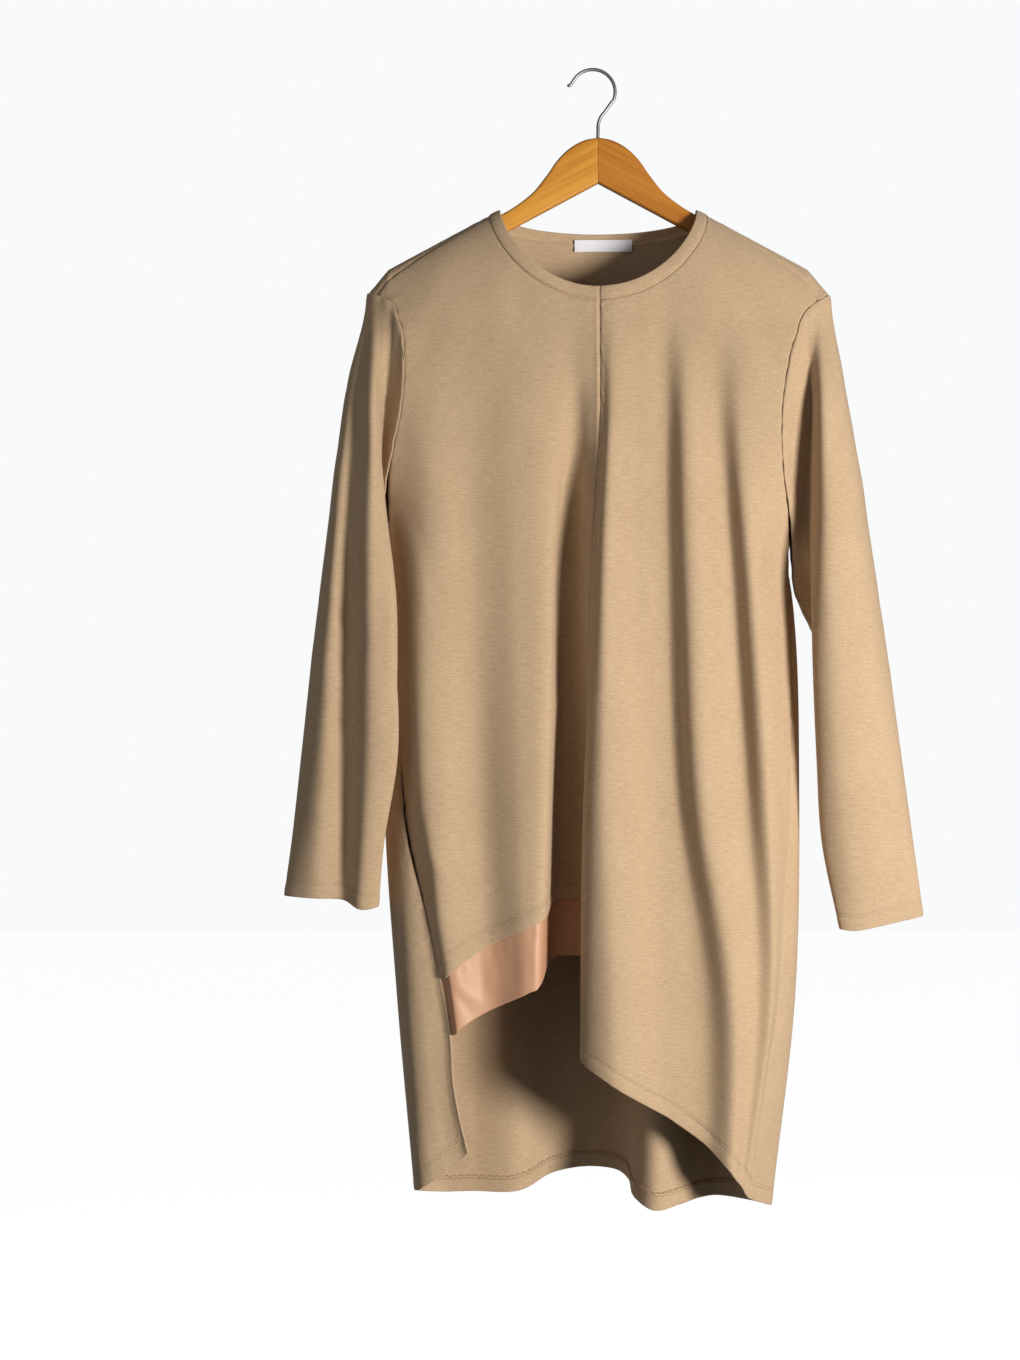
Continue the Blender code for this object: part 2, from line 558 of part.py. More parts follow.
def back_panel(jersey):
    """One piece, taken over the shoulders to the seam and round both sides to the front."""
    hem = (RIGHT_HEM_Z["back"], *(f.hem_z for f in BACK_FOLDS), LEFT_HEM_Z["back"])
    right, left = seam_stops(True, "right"), seam_stops(True, "left")[:, ::-1]
    neck = neck_stops(True, [*BACK_NECK_X, 0.0, *(-x for x in BACK_NECK_X[::-1])])
    stops = np.concatenate([right, neck, left], axis=1)
    last = stops.shape[1] - 1
    fan_out(stops, 0, right.shape[1] + FAN - 1, EDGE_CROWD["back"])
    fan_out(stops, last, last - left.shape[1] - FAN + 1, EDGE_CROWD["back"])
    middle = np.full(stops.shape[1], LEFT_HEM_Z["front"])
    grid = panel(True, stops, middle, hem_height(hem, stops[1]), wraps=right.shape[1])
    cloth_wall("back", grid, jersey, guides=PANEL_GUIDES, gaps=PANEL_GAPS)
    return {"right": grid[:, 1], "left": grid[:, -2]}


def neck_ring(back, x, wider):
    """Points round the neck at these x, where the ring is wider than the neck edge."""
    x = np.array(x, float) * (NECK_HALF_WIDTH + wider) / PANEL_NECK_X
    z = (back_neck_z if back else front_neck_z)(x, wider)
    return surface_at(back, x, np.minimum(z, shoulder_z(x)))


def neck_bands(trim):
    """Three strips of binding between the neck edge and the top edges of the panels."""
    front = [*(-x for x in LEFT_NECK_X), *RIGHT_NECK_X[1:]]
    behind = [*BACK_NECK_X[1:], 0.0, *(-x for x in BACK_NECK_X[:0:-1])]
    width = PANEL_NECK_X - NECK_HALF_WIDTH
    rows = []
    for w in (width + 3.0, width, 0.0, -3.0):
        rows.append(np.concatenate([neck_ring(False, front, w), neck_ring(True, behind, w)]))
    ring = np.array(rows)
    centre, right, end = len(LEFT_NECK_X) - 1, len(front) - 1, ring.shape[1]
    parts = (("neckband_short", 0, centre), ("neckband_long", centre, right), ("neckband_back", right, end))
    guides = Sides(1, 1, 1, 1)
    for name, start, stop in parts:
        strip = ring[:, np.arange(start - 1, stop + 2) % end]
        gaps = Sides(bottom=2.5 * SEAM_GAP, first=HALF_GAP, last=2 * HALF_GAP)
        cloth_wall(name, strip, trim, out=BAND_PROUD, thickness=BAND_CLOTH, guides=guides, gaps=gaps)


def neck_label(finish):
    """A blank woven label sewn inside the back neck."""
    width, height, thickness = LABEL_SIZE
    middle, up = LABEL_AT
    top = float(back_neck_z(0.0, PANEL_NECK_X - NECK_HALF_WIDTH)) + up
    x = middle + np.linspace(width / 2, -width / 2, 7)
    rows = [surface_at(True, x, np.full(7, z)) for z in (top - height, top - height / 2, top)]
    cloth_wall("neck_label", np.array(rows), finish, out=-(CLOTH + SATIN_GAP), thickness=thickness)


def armhole(side, back, z):
    """The armhole edge at these heights, moved out by its gap from the body."""
    sign = -1.0 if side == "left" else 1.0
    xy = edge_points(LEFT_EDGE if side == "left" else RIGHT_EDGE, z, back)
    y = xy[:, 1] * round_over(np.maximum(shoulder_z(xy[:, 0]) - z, 0.0))
    under = smooth_step((UNDERARM_Z + 110.0 - z) / 110.0)
    gap = ARMHOLE_GAP + (UNDERARM_GAP - ARMHOLE_GAP) * under
    return np.stack([xy[:, 0] + sign * gap, y, z], axis=1)


def sleeve_lines(side, z):
    """The sleeve's edges and folds: open at the armhole, and a ring below the underarm."""
    left = side == "left"
    folds = LEFT_SLEEVE_FOLDS if left else RIGHT_SLEEVE_FOLDS
    seam = LEFT_SLEEVE_SEAM if left else RIGHT_SLEEVE_SEAM
    levels = LEFT_SLEEVE_LEVELS if left else RIGHT_SLEEVE_LEVELS
    inner = fold_points(folds, levels, z)
    low = smooth_step((UNDERARM_Z - z) / 70.0)[:, None]
    at_seam = fold_points([seam], levels, z)[0]
    ends = []
    for back, y in ((False, -SLEEVE_SEAM_HALF), (True, SLEEVE_SEAM_HALF)):
        over = armhole(side, back, np.maximum(z, UNDERARM_Z + 0.01))[:, :2]
        ends.append(over + (at_seam + (0.0, y) - over) * low)
    ring = smooth_step((UNDERARM_Z - z) / 40.0)[:, None]
    before = ring * inner[-1] + (1 - ring) * (2 * ends[0] - inner[0])
    after = ring * inner[0] + (1 - ring) * (2 * ends[1] - inner[-1])
    return np.concatenate([before[None], ends[0][None], inner, ends[1][None], after[None]])


def sleeve(side, front_edge, back_edge, jersey):
    """A sleeve sewn round the armhole and open at the cuff; edges run up to the top."""
    folds = LEFT_SLEEVE_FOLDS if side == "left" else RIGHT_SLEEVE_FOLDS
    seam = LEFT_SLEEVE_SEAM if side == "left" else RIGHT_SLEEVE_SEAM
    low = len(front_edge) - 2 - SEAM_ROWS
    turn = low + SEAM_ROWS - SLEEVE_HEAD_NODES
    side_z = front_edge[low : turn + 1, 2]
    over = back_edge[len(back_edge) - 2 - WRAP_ROWS - SLEEVE_HEAD_NODES : -2]
    nodes = np.concatenate([front_edge[turn:-1], over[::-1]])
    nodes[:, 0] += -ARMHOLE_GAP if side == "left" else ARMHOLE_GAP
    place = np.arange((len(nodes) - 1) * SLEEVE_HALVES + 1) / SLEEVE_HALVES
    head = np.stack([np.interp(place, np.arange(len(nodes)), nodes[:, k]) for k in range(3)], axis=1)
    lines = np.arange(len(folds) + 2)
    t = np.interp(place / place[-1], (0.0, *(f.place for f in folds), 1.0), lines)
    cuff_z = run_through(lines, (seam.cuff_z, *(f.cuff_z for f in folds), seam.cuff_z), t)
    share = (side_z[1:, None] - UNDERARM_Z) / (side_z[-1] - UNDERARM_Z)
    z = np.concatenate(
        [
            np.linspace(cuff_z, np.full(len(t), UNDERARM_Z), SLEEVE_ARM_ROWS + 1),
            UNDERARM_Z + (head[:, 2] - UNDERARM_Z) * share,
        ]
    )
    grid = np.empty((len(z), len(t), 3))
    for row, heights in enumerate(z):
        grid[row, :, :2] = across(sleeve_lines(side, heights), t)
        grid[row, :, 2] = heights
    fade = 1.0 - smooth_step((head[:, 2] - z) / 70.0)
    grid[:, :, :2] += (head[:, :2] - grid[-1, :, :2]) * fade[:, :, None]
    if side == "left":
        grid = grid[:, ::-1]
    cloth_wall(f"sleeve_{side}", grid, jersey, out=CLOTH, ring_rows=SLEEVE_ARM_ROWS)


def wood_arm(side, wood, cutter):
    """Half of the hanger, sawn from a board and rounded along its edges."""
    sign = -1.0 if side == "left" else 1.0
    start = SEAM_GAP / 2
    tip = HANGER_TIP_X - 6.0
    shoulder = [(x, float(shoulder_z(x)) - WOOD_UNDER_CLOTH) for x in (100.0, 130.0, 160.0, tip - 9.0)]
    tip_z = float(shoulder_z(tip)) - WOOD_UNDER_CLOTH
    end = [(tip - 2.5, tip_z - 1.5), (tip, tip_z - 6.0), (tip, tip_z - 13.0)]
    stops = ((tip - 4.0, 2.0), (tip - 12.0, 0.0), (84.0, 0.0))
    under = [(x, WOOD_CROTCH_Z - SHOULDER_SLOPE * x + lift) for x, lift in stops]
    outline = [(start, WOOD_APEX_Z), *WOOD_HUMP, *shoulder, *end, *under, (start, WOOD_CROTCH_Z)]
    mesh = bmesh.new()
    verts = [mesh.verts.new((sign * x * MM, -WOOD_THICKNESS / 2 * MM, z * MM)) for x, z in outline]
    face = mesh.faces.new(verts)
    made = bmesh.ops.extrude_face_region(mesh, geom=[face])
    moved = [v for v in made["geom"] if isinstance(v, bmesh.types.BMVert)]
    bmesh.ops.translate(mesh, verts=moved, vec=(0.0, WOOD_THICKNESS * MM, 0.0))
    bmesh.ops.recalc_face_normals(mesh, faces=mesh.faces)
    rims = []
    for edge in mesh.edges:
        along_board = abs(edge.verts[0].co.y - edge.verts[1].co.y) < MM * 0.1
        at_joint = all(abs(v.co.x) < MM for v in edge.verts)
        if along_board and not at_joint:
            rims.append(edge)
    bmesh.ops.bevel(mesh, geom=rims, offset=WOOD_EDGE * MM, segments=2, profile=0.5, affect="EDGES")
    data = bpy.data.meshes.new(f"hanger_arm_{side}")
    mesh.to_mesh(data)
    mesh.free()
    data.shade_smooth()
    data.set_sharp_from_angle(angle=math.radians(40))
    arm = add_object(f"hanger_arm_{side}", data, wood)
    drill = arm.modifiers.new("shank hole", "BOOLEAN")
    drill.operation = "DIFFERENCE"
    drill.object = cutter


def shank_cutter(wood):
    mesh = bmesh.new()
    radius = SHANK_HOLE_RADIUS * MM
    depth = 2 * SHANK_DEPTH * MM
    bmesh.ops.create_cone(mesh, cap_ends=True, segments=12, radius1=radius, radius2=radius, depth=depth)
    data = bpy.data.meshes.new("shank_cutter")
    mesh.to_mesh(data)
    mesh.free()
    cutter = add_object("shank_cutter", data, wood)
    cutter.location = (0.0, 0.0, WOOD_APEX_Z * MM)
    cutter.rotation_euler = (0.0, 0.0, math.radians(15))
    cutter.hide_render = True
    cutter.display_type = "WIRE"


def hook(chrome):
    """Bent wire: a shank set in the wood, a lean to the right, the crown and a turned-out tip."""
    foot = WOOD_APEX_Z - SHANK_DEPTH + 0.6
    shank = [(0.0, foot), (0.0, foot + 10.0), (0.0, -56.0), (0.3, -49.5), (2.6, -43.0), (7.2, -37.0)]
    shank.append((11.8, -30.5))
    cx, cz = HOOK_CENTRE
    angles = np.radians(np.arange(-20.0, 150.0, 12.0))
    crown = np.stack([cx + HOOK_RADIUS * np.cos(angles), cz + HOOK_RADIUS * np.sin(angles)], axis=1)
    stops = np.concatenate([shank, crown, [(-26.4, -12.4), (-29.2, -13.6)]])
    length = np.concatenate([[0.0], np.cumsum(np.linalg.norm(np.diff(stops, axis=0), axis=1))])
    line = run_through(length, stops, np.linspace(0.0, length[-1], WIRE_STEPS + 1))
    run = np.gradient(line, axis=0)
    run /= np.linalg.norm(run, axis=1, keepdims=True)
    turn = 2 * math.pi * np.arange(WIRE_SIDES) / WIRE_SIDES
    side, depth = WIRE_RADIUS * np.cos(turn), WIRE_RADIUS * np.sin(turn)
    points = [(x - tz * a, b, z + tx * a) for (x, z), (tx, tz) in zip(line, run) for a, b in zip(side, depth)]
    faces = [list(range(WIRE_SIDES)), list(range(len(points) - 1, len(points) - 1 - WIRE_SIDES, -1))]
    for i in range(0, WIRE_STEPS * WIRE_SIDES, WIRE_SIDES):
        for j in range(WIRE_SIDES):
            k = (j + 1) % WIRE_SIDES
            faces.append([i + k, i + j, i + WIRE_SIDES + j, i + WIRE_SIDES + k])
    mesh = bpy.data.meshes.new("hanger_hook")
    mesh.from_pydata([(x * MM, y * MM, z * MM) for x, y, z in points], [], faces)
    mesh.shade_smooth()
    mesh.set_sharp_from_angle(angle=math.radians(60))
    add_object("hanger_hook", mesh, chrome)


def main():
    for old in list(bpy.data.objects):
        bpy.data.objects.remove(old)
    jersey = material("sand_jersey", (0.42, 0.29, 0.17), 0.85)
    trim = material("sand_binding", (0.42, 0.29, 0.17), 0.8)
    satin = material("blush_satin", (0.56, 0.36, 0.25), 0.5)
    white = material("white_label", (0.85, 0.84, 0.85), 0.7)
    wood = material("lacquered_beech", (0.58, 0.27, 0.06), 0.4)
    chrome = material("chrome", (0.75, 0.75, 0.77), 0.15, 1.0)
    front_edges = front_panels(jersey, satin)
    back_edges = back_panel(jersey)
    neck_bands(trim)
    neck_label(white)
    for side in ("left", "right"):
        sleeve(side, front_edges[side], back_edges[side], jersey)
    shank_cutter(wood)
    for side in ("left", "right"):
        wood_arm(side, wood, bpy.data.objects["shank_cutter"])
    hook(chrome)


main()
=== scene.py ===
"""Sand jersey tunic with a stepped front hem, hung on a wooden hanger with a wire hook.

Tables are in millimetres: x to the viewer's right, y away from the viewer, z up, from the
inside of the hook's crown. Meshes are in metres.
"""

import math
from collections import namedtuple

import bmesh
import bpy
import numpy as np
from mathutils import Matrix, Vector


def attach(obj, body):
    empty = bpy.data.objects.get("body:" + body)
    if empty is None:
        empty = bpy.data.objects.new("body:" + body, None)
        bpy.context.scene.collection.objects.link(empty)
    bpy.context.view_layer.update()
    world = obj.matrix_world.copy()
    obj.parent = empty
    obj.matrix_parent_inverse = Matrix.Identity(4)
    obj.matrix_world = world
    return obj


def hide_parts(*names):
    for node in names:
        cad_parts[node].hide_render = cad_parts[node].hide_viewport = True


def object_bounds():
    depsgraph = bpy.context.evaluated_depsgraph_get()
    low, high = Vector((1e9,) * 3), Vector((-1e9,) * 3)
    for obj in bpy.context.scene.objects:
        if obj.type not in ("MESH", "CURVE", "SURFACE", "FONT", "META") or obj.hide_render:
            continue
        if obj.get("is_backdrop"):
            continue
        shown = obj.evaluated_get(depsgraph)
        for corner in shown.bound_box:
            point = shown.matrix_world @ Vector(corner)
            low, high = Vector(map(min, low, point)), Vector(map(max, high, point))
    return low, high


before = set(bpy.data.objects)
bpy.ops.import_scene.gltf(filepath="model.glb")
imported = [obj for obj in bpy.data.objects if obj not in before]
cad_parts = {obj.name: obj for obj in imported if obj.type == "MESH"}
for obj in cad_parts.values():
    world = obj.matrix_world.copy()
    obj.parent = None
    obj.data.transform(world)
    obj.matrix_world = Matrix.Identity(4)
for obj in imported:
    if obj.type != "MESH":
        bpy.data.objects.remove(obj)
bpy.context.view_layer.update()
MM = 0.001

# Studio
# A plain pale floor well below the hem and a pale surround. One soft lamp stands to the
# right of the garment at chest height, a large weak one fills in from the left, and one
# lights the back from the left.
CAMERA_AT = (-0.0836, -2.3, -0.5776)
CAMERA_LENS = 64.1
FLOOR_Z = -1.75
Lamp = namedtuple("Lamp", "name azimuth elevation distance size power colour")
LAMPS = (
    Lamp("key", 42, 3, 2.1, 0.55, 57.0, (1.0, 0.985, 0.96)),
    Lamp("fill", -50, 16, 2.5, 1.8, 6.0, (0.98, 0.985, 1.0)),
    Lamp("behind", -165, 12, 2.8, 1.2, 40.0, (1.0, 0.99, 0.97)),
)
AIM = (0.0, 0.0, -0.75)


def node(tree, kind, inputs=(), **settings):
    """A new shader node with settings, whose inputs are values or other nodes' outputs."""
    made = tree.nodes.new(kind)
    for key, value in settings.items():
        setattr(made, key, value)
    for key, value in dict(inputs).items():
        if isinstance(value, bpy.types.NodeSocket):
            tree.links.new(value, made.inputs[key])
        else:
            made.inputs[key].default_value = value
    return made


camera = bpy.data.objects.new("camera", bpy.data.cameras.new("camera"))
camera.data.lens = CAMERA_LENS
camera.location = CAMERA_AT
camera.rotation_euler = (math.pi / 2, 0.0, 0.0)
bpy.context.scene.collection.objects.link(camera)
bpy.context.scene.camera = camera

for lamp in LAMPS:
    area = bpy.data.lights.new(lamp.name, "AREA")
    area.shape = "DISK"
    area.size = lamp.size
    area.energy = lamp.power
    area.color = lamp.colour
    held = bpy.data.objects.new(lamp.name, area)
    bpy.context.scene.collection.objects.link(held)
    turn, rise = math.radians(lamp.azimuth), math.radians(lamp.elevation)
    away = np.array([math.sin(turn) * math.cos(rise), -math.cos(turn) * math.cos(rise), math.sin(rise)])
    held.location = np.array(AIM) + away * lamp.distance
    held.rotation_euler = (math.pi / 2 - rise, 0.0, turn)

for name in ("fill", "behind"):
    bpy.data.objects[name].visible_glossy = False

bpy.context.scene.view_settings.view_transform = "Standard"
world = bpy.data.worlds.new("surround")
bpy.context.scene.world = world
world.use_nodes = True
SURROUND_SEEN = (0.95, 0.955, 0.96, 1.0)
SURROUND_LIGHT = (0.93, 0.96, 1.0, 1.0)
SURROUND_POWER = 0.12
tree = world.node_tree
seen = node(tree, "ShaderNodeBackground", {"Color": SURROUND_SEEN, "Strength": 1.0})
lighting = node(tree, "ShaderNodeBackground", {"Color": SURROUND_LIGHT, "Strength": SURROUND_POWER})
rays = node(tree, "ShaderNodeLightPath")
mixed = node(tree, "ShaderNodeMixShader", {
    0: rays.outputs["Is Camera Ray"],
    1: lighting.outputs[0],
    2: seen.outputs[0],
})
tree.links.new(mixed.outputs[0], tree.nodes["World Output"].inputs["Surface"])

floor_mesh = bmesh.new()
bmesh.ops.create_grid(floor_mesh, x_segments=2, y_segments=2, size=9.0)
bmesh.ops.translate(floor_mesh, verts=floor_mesh.verts, vec=(0.0, 0.0, FLOOR_Z))
floor_data = bpy.data.meshes.new("floor")
floor_mesh.to_mesh(floor_data)
floor_mesh.free()
floor = bpy.data.objects.new("floor", floor_data)
bpy.context.scene.collection.objects.link(floor)
floor_paint = bpy.data.materials.new("pale_floor")
floor_paint.use_nodes = True
paint = floor_paint.node_tree.nodes["Principled BSDF"]
paint.inputs["Base Color"].default_value = (0.6, 0.6, 0.6, 1.0)
paint.inputs["Roughness"].default_value = 0.9
paint.inputs["Emission Color"].default_value = (1.0, 1.0, 1.0, 1.0)
paint.inputs["Emission Strength"].default_value = 0.9
floor.data.materials.append(floor_paint)
floor.visible_diffuse = False
floor.visible_glossy = False
floor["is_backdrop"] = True

# Body
# The two fronts and the back hang from the hanger as one tube of heavy jersey. Their
# shape comes from lines that run down the cloth, one for each crest and trough of its
# folds, joined across by a smooth curve at each height.
CLOTH = 1.6
NECK_HALF_WIDTH = 94.0
PANEL_NECK_X = 103.5
NECK_POINT_Z = -131.9
SHOULDER_SLOPE = 0.535
HANGER_TIP_X = 199.0
SLEEVE_HEAD_SLOPE = 1.2
ROUND_OVER = 84.0
FRONT_NECK_DROP, FRONT_NECK_POWER = 78.0, 0.62
BACK_NECK_DROP, BACK_NECK_POWER = 18.2, 0.45
SeamDrop = namedtuple("SeamDrop", "shoulder point")
SEAM_DROP = {"left": SeamDrop(7.0, 6.5), "right": SeamDrop(9.0, 12.0)}
UNDERARM_Z = -478.0
SIDE_BLEND = 60.0
Edge = namedtuple("Edge", "z x depth")
LEFT_EDGE = (
    Edge(-1020.5, -124.0, 28.0),
    Edge(-990.0, -131.5, 32.0),
    Edge(-957.0, -137.5, 36.0),
    Edge(-910.5, -140.5, 38.0),
    Edge(-857.0, -149.5, 37.0),
    Edge(-787.0, -165.0, 31.0),
    Edge(-717.0, -180.5, 20.0),
    Edge(-632.0, -188.5, 12.0),
    Edge(-540.0, -194.5, 6.0),
    Edge(-478.0, -197.5, 3.0),
    Edge(-436.0, -199.0, 13.0),
    Edge(-380.0, -197.0, 27.0),
    Edge(-315.5, -185.0, 34.0),
    Edge(-277.6, -183.0, 32.0),
    Edge(-238.9, -189.0, 27.0),
    Edge(-216.0, -205.0, 21.0),
    Edge(-210.5, -219.5, 18.0),
)
RIGHT_EDGE = (
    Edge(-1061.0, 140.0, 38.0),
    Edge(-1020.0, 147.0, 37.5),
    Edge(-957.0, 155.5, 36.5),
    Edge(-877.0, 168.0, 33.0),
    Edge(-784.0, 174.5, 27.0),
    Edge(-709.0, 180.0, 21.0),
    Edge(-597.0, 183.0, 12.0),
    Edge(-540.0, 182.5, 7.0),
    Edge(-478.0, 181.5, 3.0),
    Edge(-427.0, 179.0, 20.0),
    Edge(-381.0, 173.0, 32.0),
    Edge(-343.8, 171.0, 36.0),
    Edge(-296.6, 175.0, 33.0),
    Edge(-258.3, 184.0, 28.0),
    Edge(-222.0, 204.5, 21.0),
    Edge(-212.5, 220.0, 18.0),
)
LEVELS = (-1060.0, -876.0, -690.0, -503.0, -335.0, -240.0)
Fold = namedtuple("Fold", "name hem thigh hip waist chest yoke hem_z")
FRONT_LEFT_FOLDS = (
    Fold("side roll", (-118, -48), (-137, -47), (-163, -46), (-166, -42), (-160, -37), (-152, -30), -851),
    Fold("soft hollow", (-92, -40), (-101, -40), (-110, -34), (-114, -34), (-117, -34), (-112, -31), -825),
    Fold("inner roll", (-64, -56), (-68, -54), (-72, -48), (-76, -41), (-79, -38), (-76, -33), -809),
    Fold("brink", (-54, -54), (-55, -52), (-50, -46), (-46, -38), (-50, -37), (-50, -34), -801),
    Fold("valley", (-42, 8), (-40, 6), (-38, 0), (-31, -14), (-25, -31), (-26, -34), -787),
    Fold("valley end", (-20, 8), (-20, 7), (-22, 1), (-17, -20), (-12, -34), (-12, -35), -785),
)
CENTRE_SEAM = Fold("centre seam", (0, -4), (-2, -6), (-5, -17), (-9, -41), (0, -39), (0, -36), -785)
FRONT_RIGHT_FOLDS = (
    Fold("fold edge", (-18, -46), (-18, -45), (-15, -43), (-6, -47), (3.5, -41), (3, -37), -931),
    Fold("centre roll", (12, -67), (9, -66), (1, -62), (4, -56), (10, -47), (12, -38), -952),
    Fold("shelf", (66, -50), (60, -48), (46, -44), (38, -42), (38, -39), (40, -36), -984),
    Fold("hollow", (98, -47), (98, -44), (74, -39), (65, -37), (62, -36), (61, -34), -1010),
    Fold("middle roll", (121, -57), (122, -60), (93, -57), (82, -53), (78, -47), (80, -34), -1034),
    Fold("outer hollow", (131, -46), (147, -45), (138, -40), (126, -39), (112, -38), (110, -33), -1048),
    Fold("outer roll", (135, -44), (160, -46), (156, -50), (144, -49), (131, -45), (136, -32), -1055),
)
BACK_FOLDS = (
    Fold("right wrap", (157, -18), (180, -19), (188, -11), (184.5, 4), (166, 37), (187, 25), -1070),
    Fold("right side", (167, 2), (187, -2), (191, 3), (186, 14), (159, 39), (176, 27), -1076),
    Fold("right turn", (152, 33), (174, 30), (179, 29), (173, 32), (142, 41), (160, 28), -1078),
    Fold("right back roll", (119, 44), (138, 50), (146, 50), (140, 47), (114, 43), (127, 30), -1075),
    Fold("slope", (97, 27), (103, 40), (105, 46), (100, 45), (82, 41), (86, 31), -1074),
    Fold("lobe right", (76, -3), (79, 25), (80, 39), (78, 42), (64, 40), (66, 31), -1074),
    Fold("lobe front", (53, -15), (56, 18), (58, 36), (56, 42), (46, 40), (46, 31), -1077),
    Fold("lobe left", (37, 2), (42, 35), (44, 46), (40, 47), (32, 41), (32, 31), -1069),
    Fold("flank", (33, 50), (32, 60), (32, 57), (26, 51), (20, 43), (20, 31), -1061),
    Fold("deep roll", (19, 92), (17, 77), (15, 65), (10, 55), (5, 44), (6, 31), -1059),
    Fold("deep middle", (-10, 98), (-12, 82), (-14, 69), (-17, 57), (-20, 45), (-20, 31), -1058),
    Fold("deep end", (-44, 84), (-46, 75), (-48, 64), (-51, 52), (-50, 43), (-50, 31), -1062),
    Fold("left hollow", (-76, 54), (-79, 53), (-81, 48), (-84, 43), (-80, 40), (-82, 31), -1073),
    Fold("left back roll", (-121, 53), (-122, 56), (-124, 53), (-124, 48), (-112, 42), (-117, 30), -1073),
    Fold("left turn", (-154, 45), (-164, 42), (-170, 40), (-166, 38), (-145, 41), (-152, 29), -1072),
    Fold("left side", (-175, 8), (-191, 8), (-203, 8), (-199, 15), (-166, 39), (-168, 27), -1063),
    Fold("left wrap", (-164, -20), (-182, -20), (-198, -7), (-198.5, 6), (-180, 37), (-179, 26), -1054),
)
LEFT_HEM_Z = {"front": -856.5, "back": -1020.5}
RIGHT_HEM_Z = {"front": -1061.0, "back": -1061.0}
CENTRE_HEM_Z = {"short": -785.0, "long": -914.0}
LEFT_SHOULDER_X = (206.0, 199.0, 189.0, 175.0, 158.0, 140.0, 122.0, 109.0)
RIGHT_SHOULDER_X = (207.0, 199.0, 189.0, 175.0, 158.0, 140.0, 122.0, 109.0)
LEFT_NECK_X = (103.5, 103.48, 103.25, 102.3, 99.5, 92.5, 81.0, 70.0, 61.0, 54.0, 48.0, 42.5, 37.0)
LEFT_NECK_X += (31.0, 25.0, 18.5, 12.0, 6.0, 0.0)
RIGHT_NECK_X = (0.0, 1.5, 3.0, 5.5, 9.0, 13.0, 20.0, 29.0, 38.0, 47.0, 57.0, 68.0, 80.0, 92.5)
RIGHT_NECK_X += (99.5, 102.3, 103.25, 103.48, 103.5)
BACK_NECK_X = (103.5, 103.48, 102.9, 99.5, 91.0, 80.0, 69.0, 58.0, 48.0, 39.0, 29.0, 19.0, 10.0)
FAN = 6
FAN_ROOT = 6.0
EDGE_CROWD = {"front": 1.0, "back": 0.62}
SEAM_NODES = 9
WRAP_NODES = 4


def run_through(stations, values, at):
    """A smooth curve through values at rising stations, straight below them and level above."""
    s = np.asarray(stations, float)
    v = np.asarray(values, float)
    at = np.asarray(at, float)
    slope = np.gradient(v, s, axis=0)
    i = np.clip(np.searchsorted(s, at) - 1, 0, len(s) - 2)
    span = s[i + 1] - s[i]
    f = np.clip((at - s[i]) / span, 0.0, 1.0)
    tail = (v.ndim - 1) * (None,)
    f_, span_ = f[(..., *tail)], span[(..., *tail)]
    inside = (
        v[i] * (1 + 2 * f_) * (1 - f_) ** 2
        + v[i + 1] * f_**2 * (3 - 2 * f_)
        + slope[i] * span_ * f_ * (1 - f_) ** 2
        - slope[i + 1] * span_ * f_**2 * (1 - f_)
    )
    return inside + np.minimum(at - s[0], 0.0)[(..., *tail)] * slope[0]


def smooth_step(f):
    f = np.clip(f, 0.0, 1.0)
    return f * f * (3 - 2 * f)


def shoulder_z(x):
    """Height of the shoulder line, which is carried on over the neck."""
    x = np.abs(x)
    straight = NECK_POINT_Z - SHOULDER_SLOPE * (x - NECK_HALF_WIDTH)
    return straight - (SLEEVE_HEAD_SLOPE - SHOULDER_SLOPE) * np.maximum(x - HANGER_TIP_X, 0.0)


def round_over(drop):
    """Share of the full depth reached at this drop under the shoulder line."""
    rest = 1.0 - np.clip(np.abs(drop) / ROUND_OVER, 0.0, 1.0)
    return np.sqrt(1.0 - rest**2)


def seam_drop(x):
    """Drop of the shoulder seam in front of the shoulder line."""
    x = np.asarray(x, float)
    share = np.clip((np.abs(x) - NECK_HALF_WIDTH) / (210.0 - NECK_HALF_WIDTH), 0.0, 1.0)
    left, right = SEAM_DROP["left"], SEAM_DROP["right"]
    on_left = left.shoulder * share + left.point * share**4
    return np.where(x < 0, on_left, right.shoulder * share + right.point * share**4)


def front_neck_z(x, wider=0.0):
    """Front neckline, moved out from the neck by wider."""
    half = NECK_HALF_WIDTH + wider
    share = np.maximum(1.0 - (np.abs(x) / half) ** 2, 0.0)
    return shoulder_z(half) - (FRONT_NECK_DROP + 0.55 * wider) * share**FRONT_NECK_POWER


def back_neck_z(x, wider=0.0):
    """Back neckline, moved out from the neck by wider."""
    half = NECK_HALF_WIDTH + wider
    share = np.maximum(1.0 - (np.abs(x) / half) ** 2, 0.0)
    return shoulder_z(half) - (BACK_NECK_DROP + 0.5 * wider) * share**BACK_NECK_POWER


def fold_points(folds, levels, z):
    """(x, y) of each fold line at each height, as an array of folds by heights by 2."""
    table = np.array([[fold[k] for fold in folds] for k in range(1, 7)], float)
    return run_through(levels, table, z).swapaxes(0, 1)


def edge_points(edge, z, back):
    """(x, y) of a side edge, which is as far behind as in front over the underarm."""
    z = np.asarray(z, float)
    xy = run_through([e.z for e in edge], [(e.x, -e.depth) for e in edge], z)
    if back:
        xy[z > UNDERARM_Z, 1] *= -1.0
    return xy


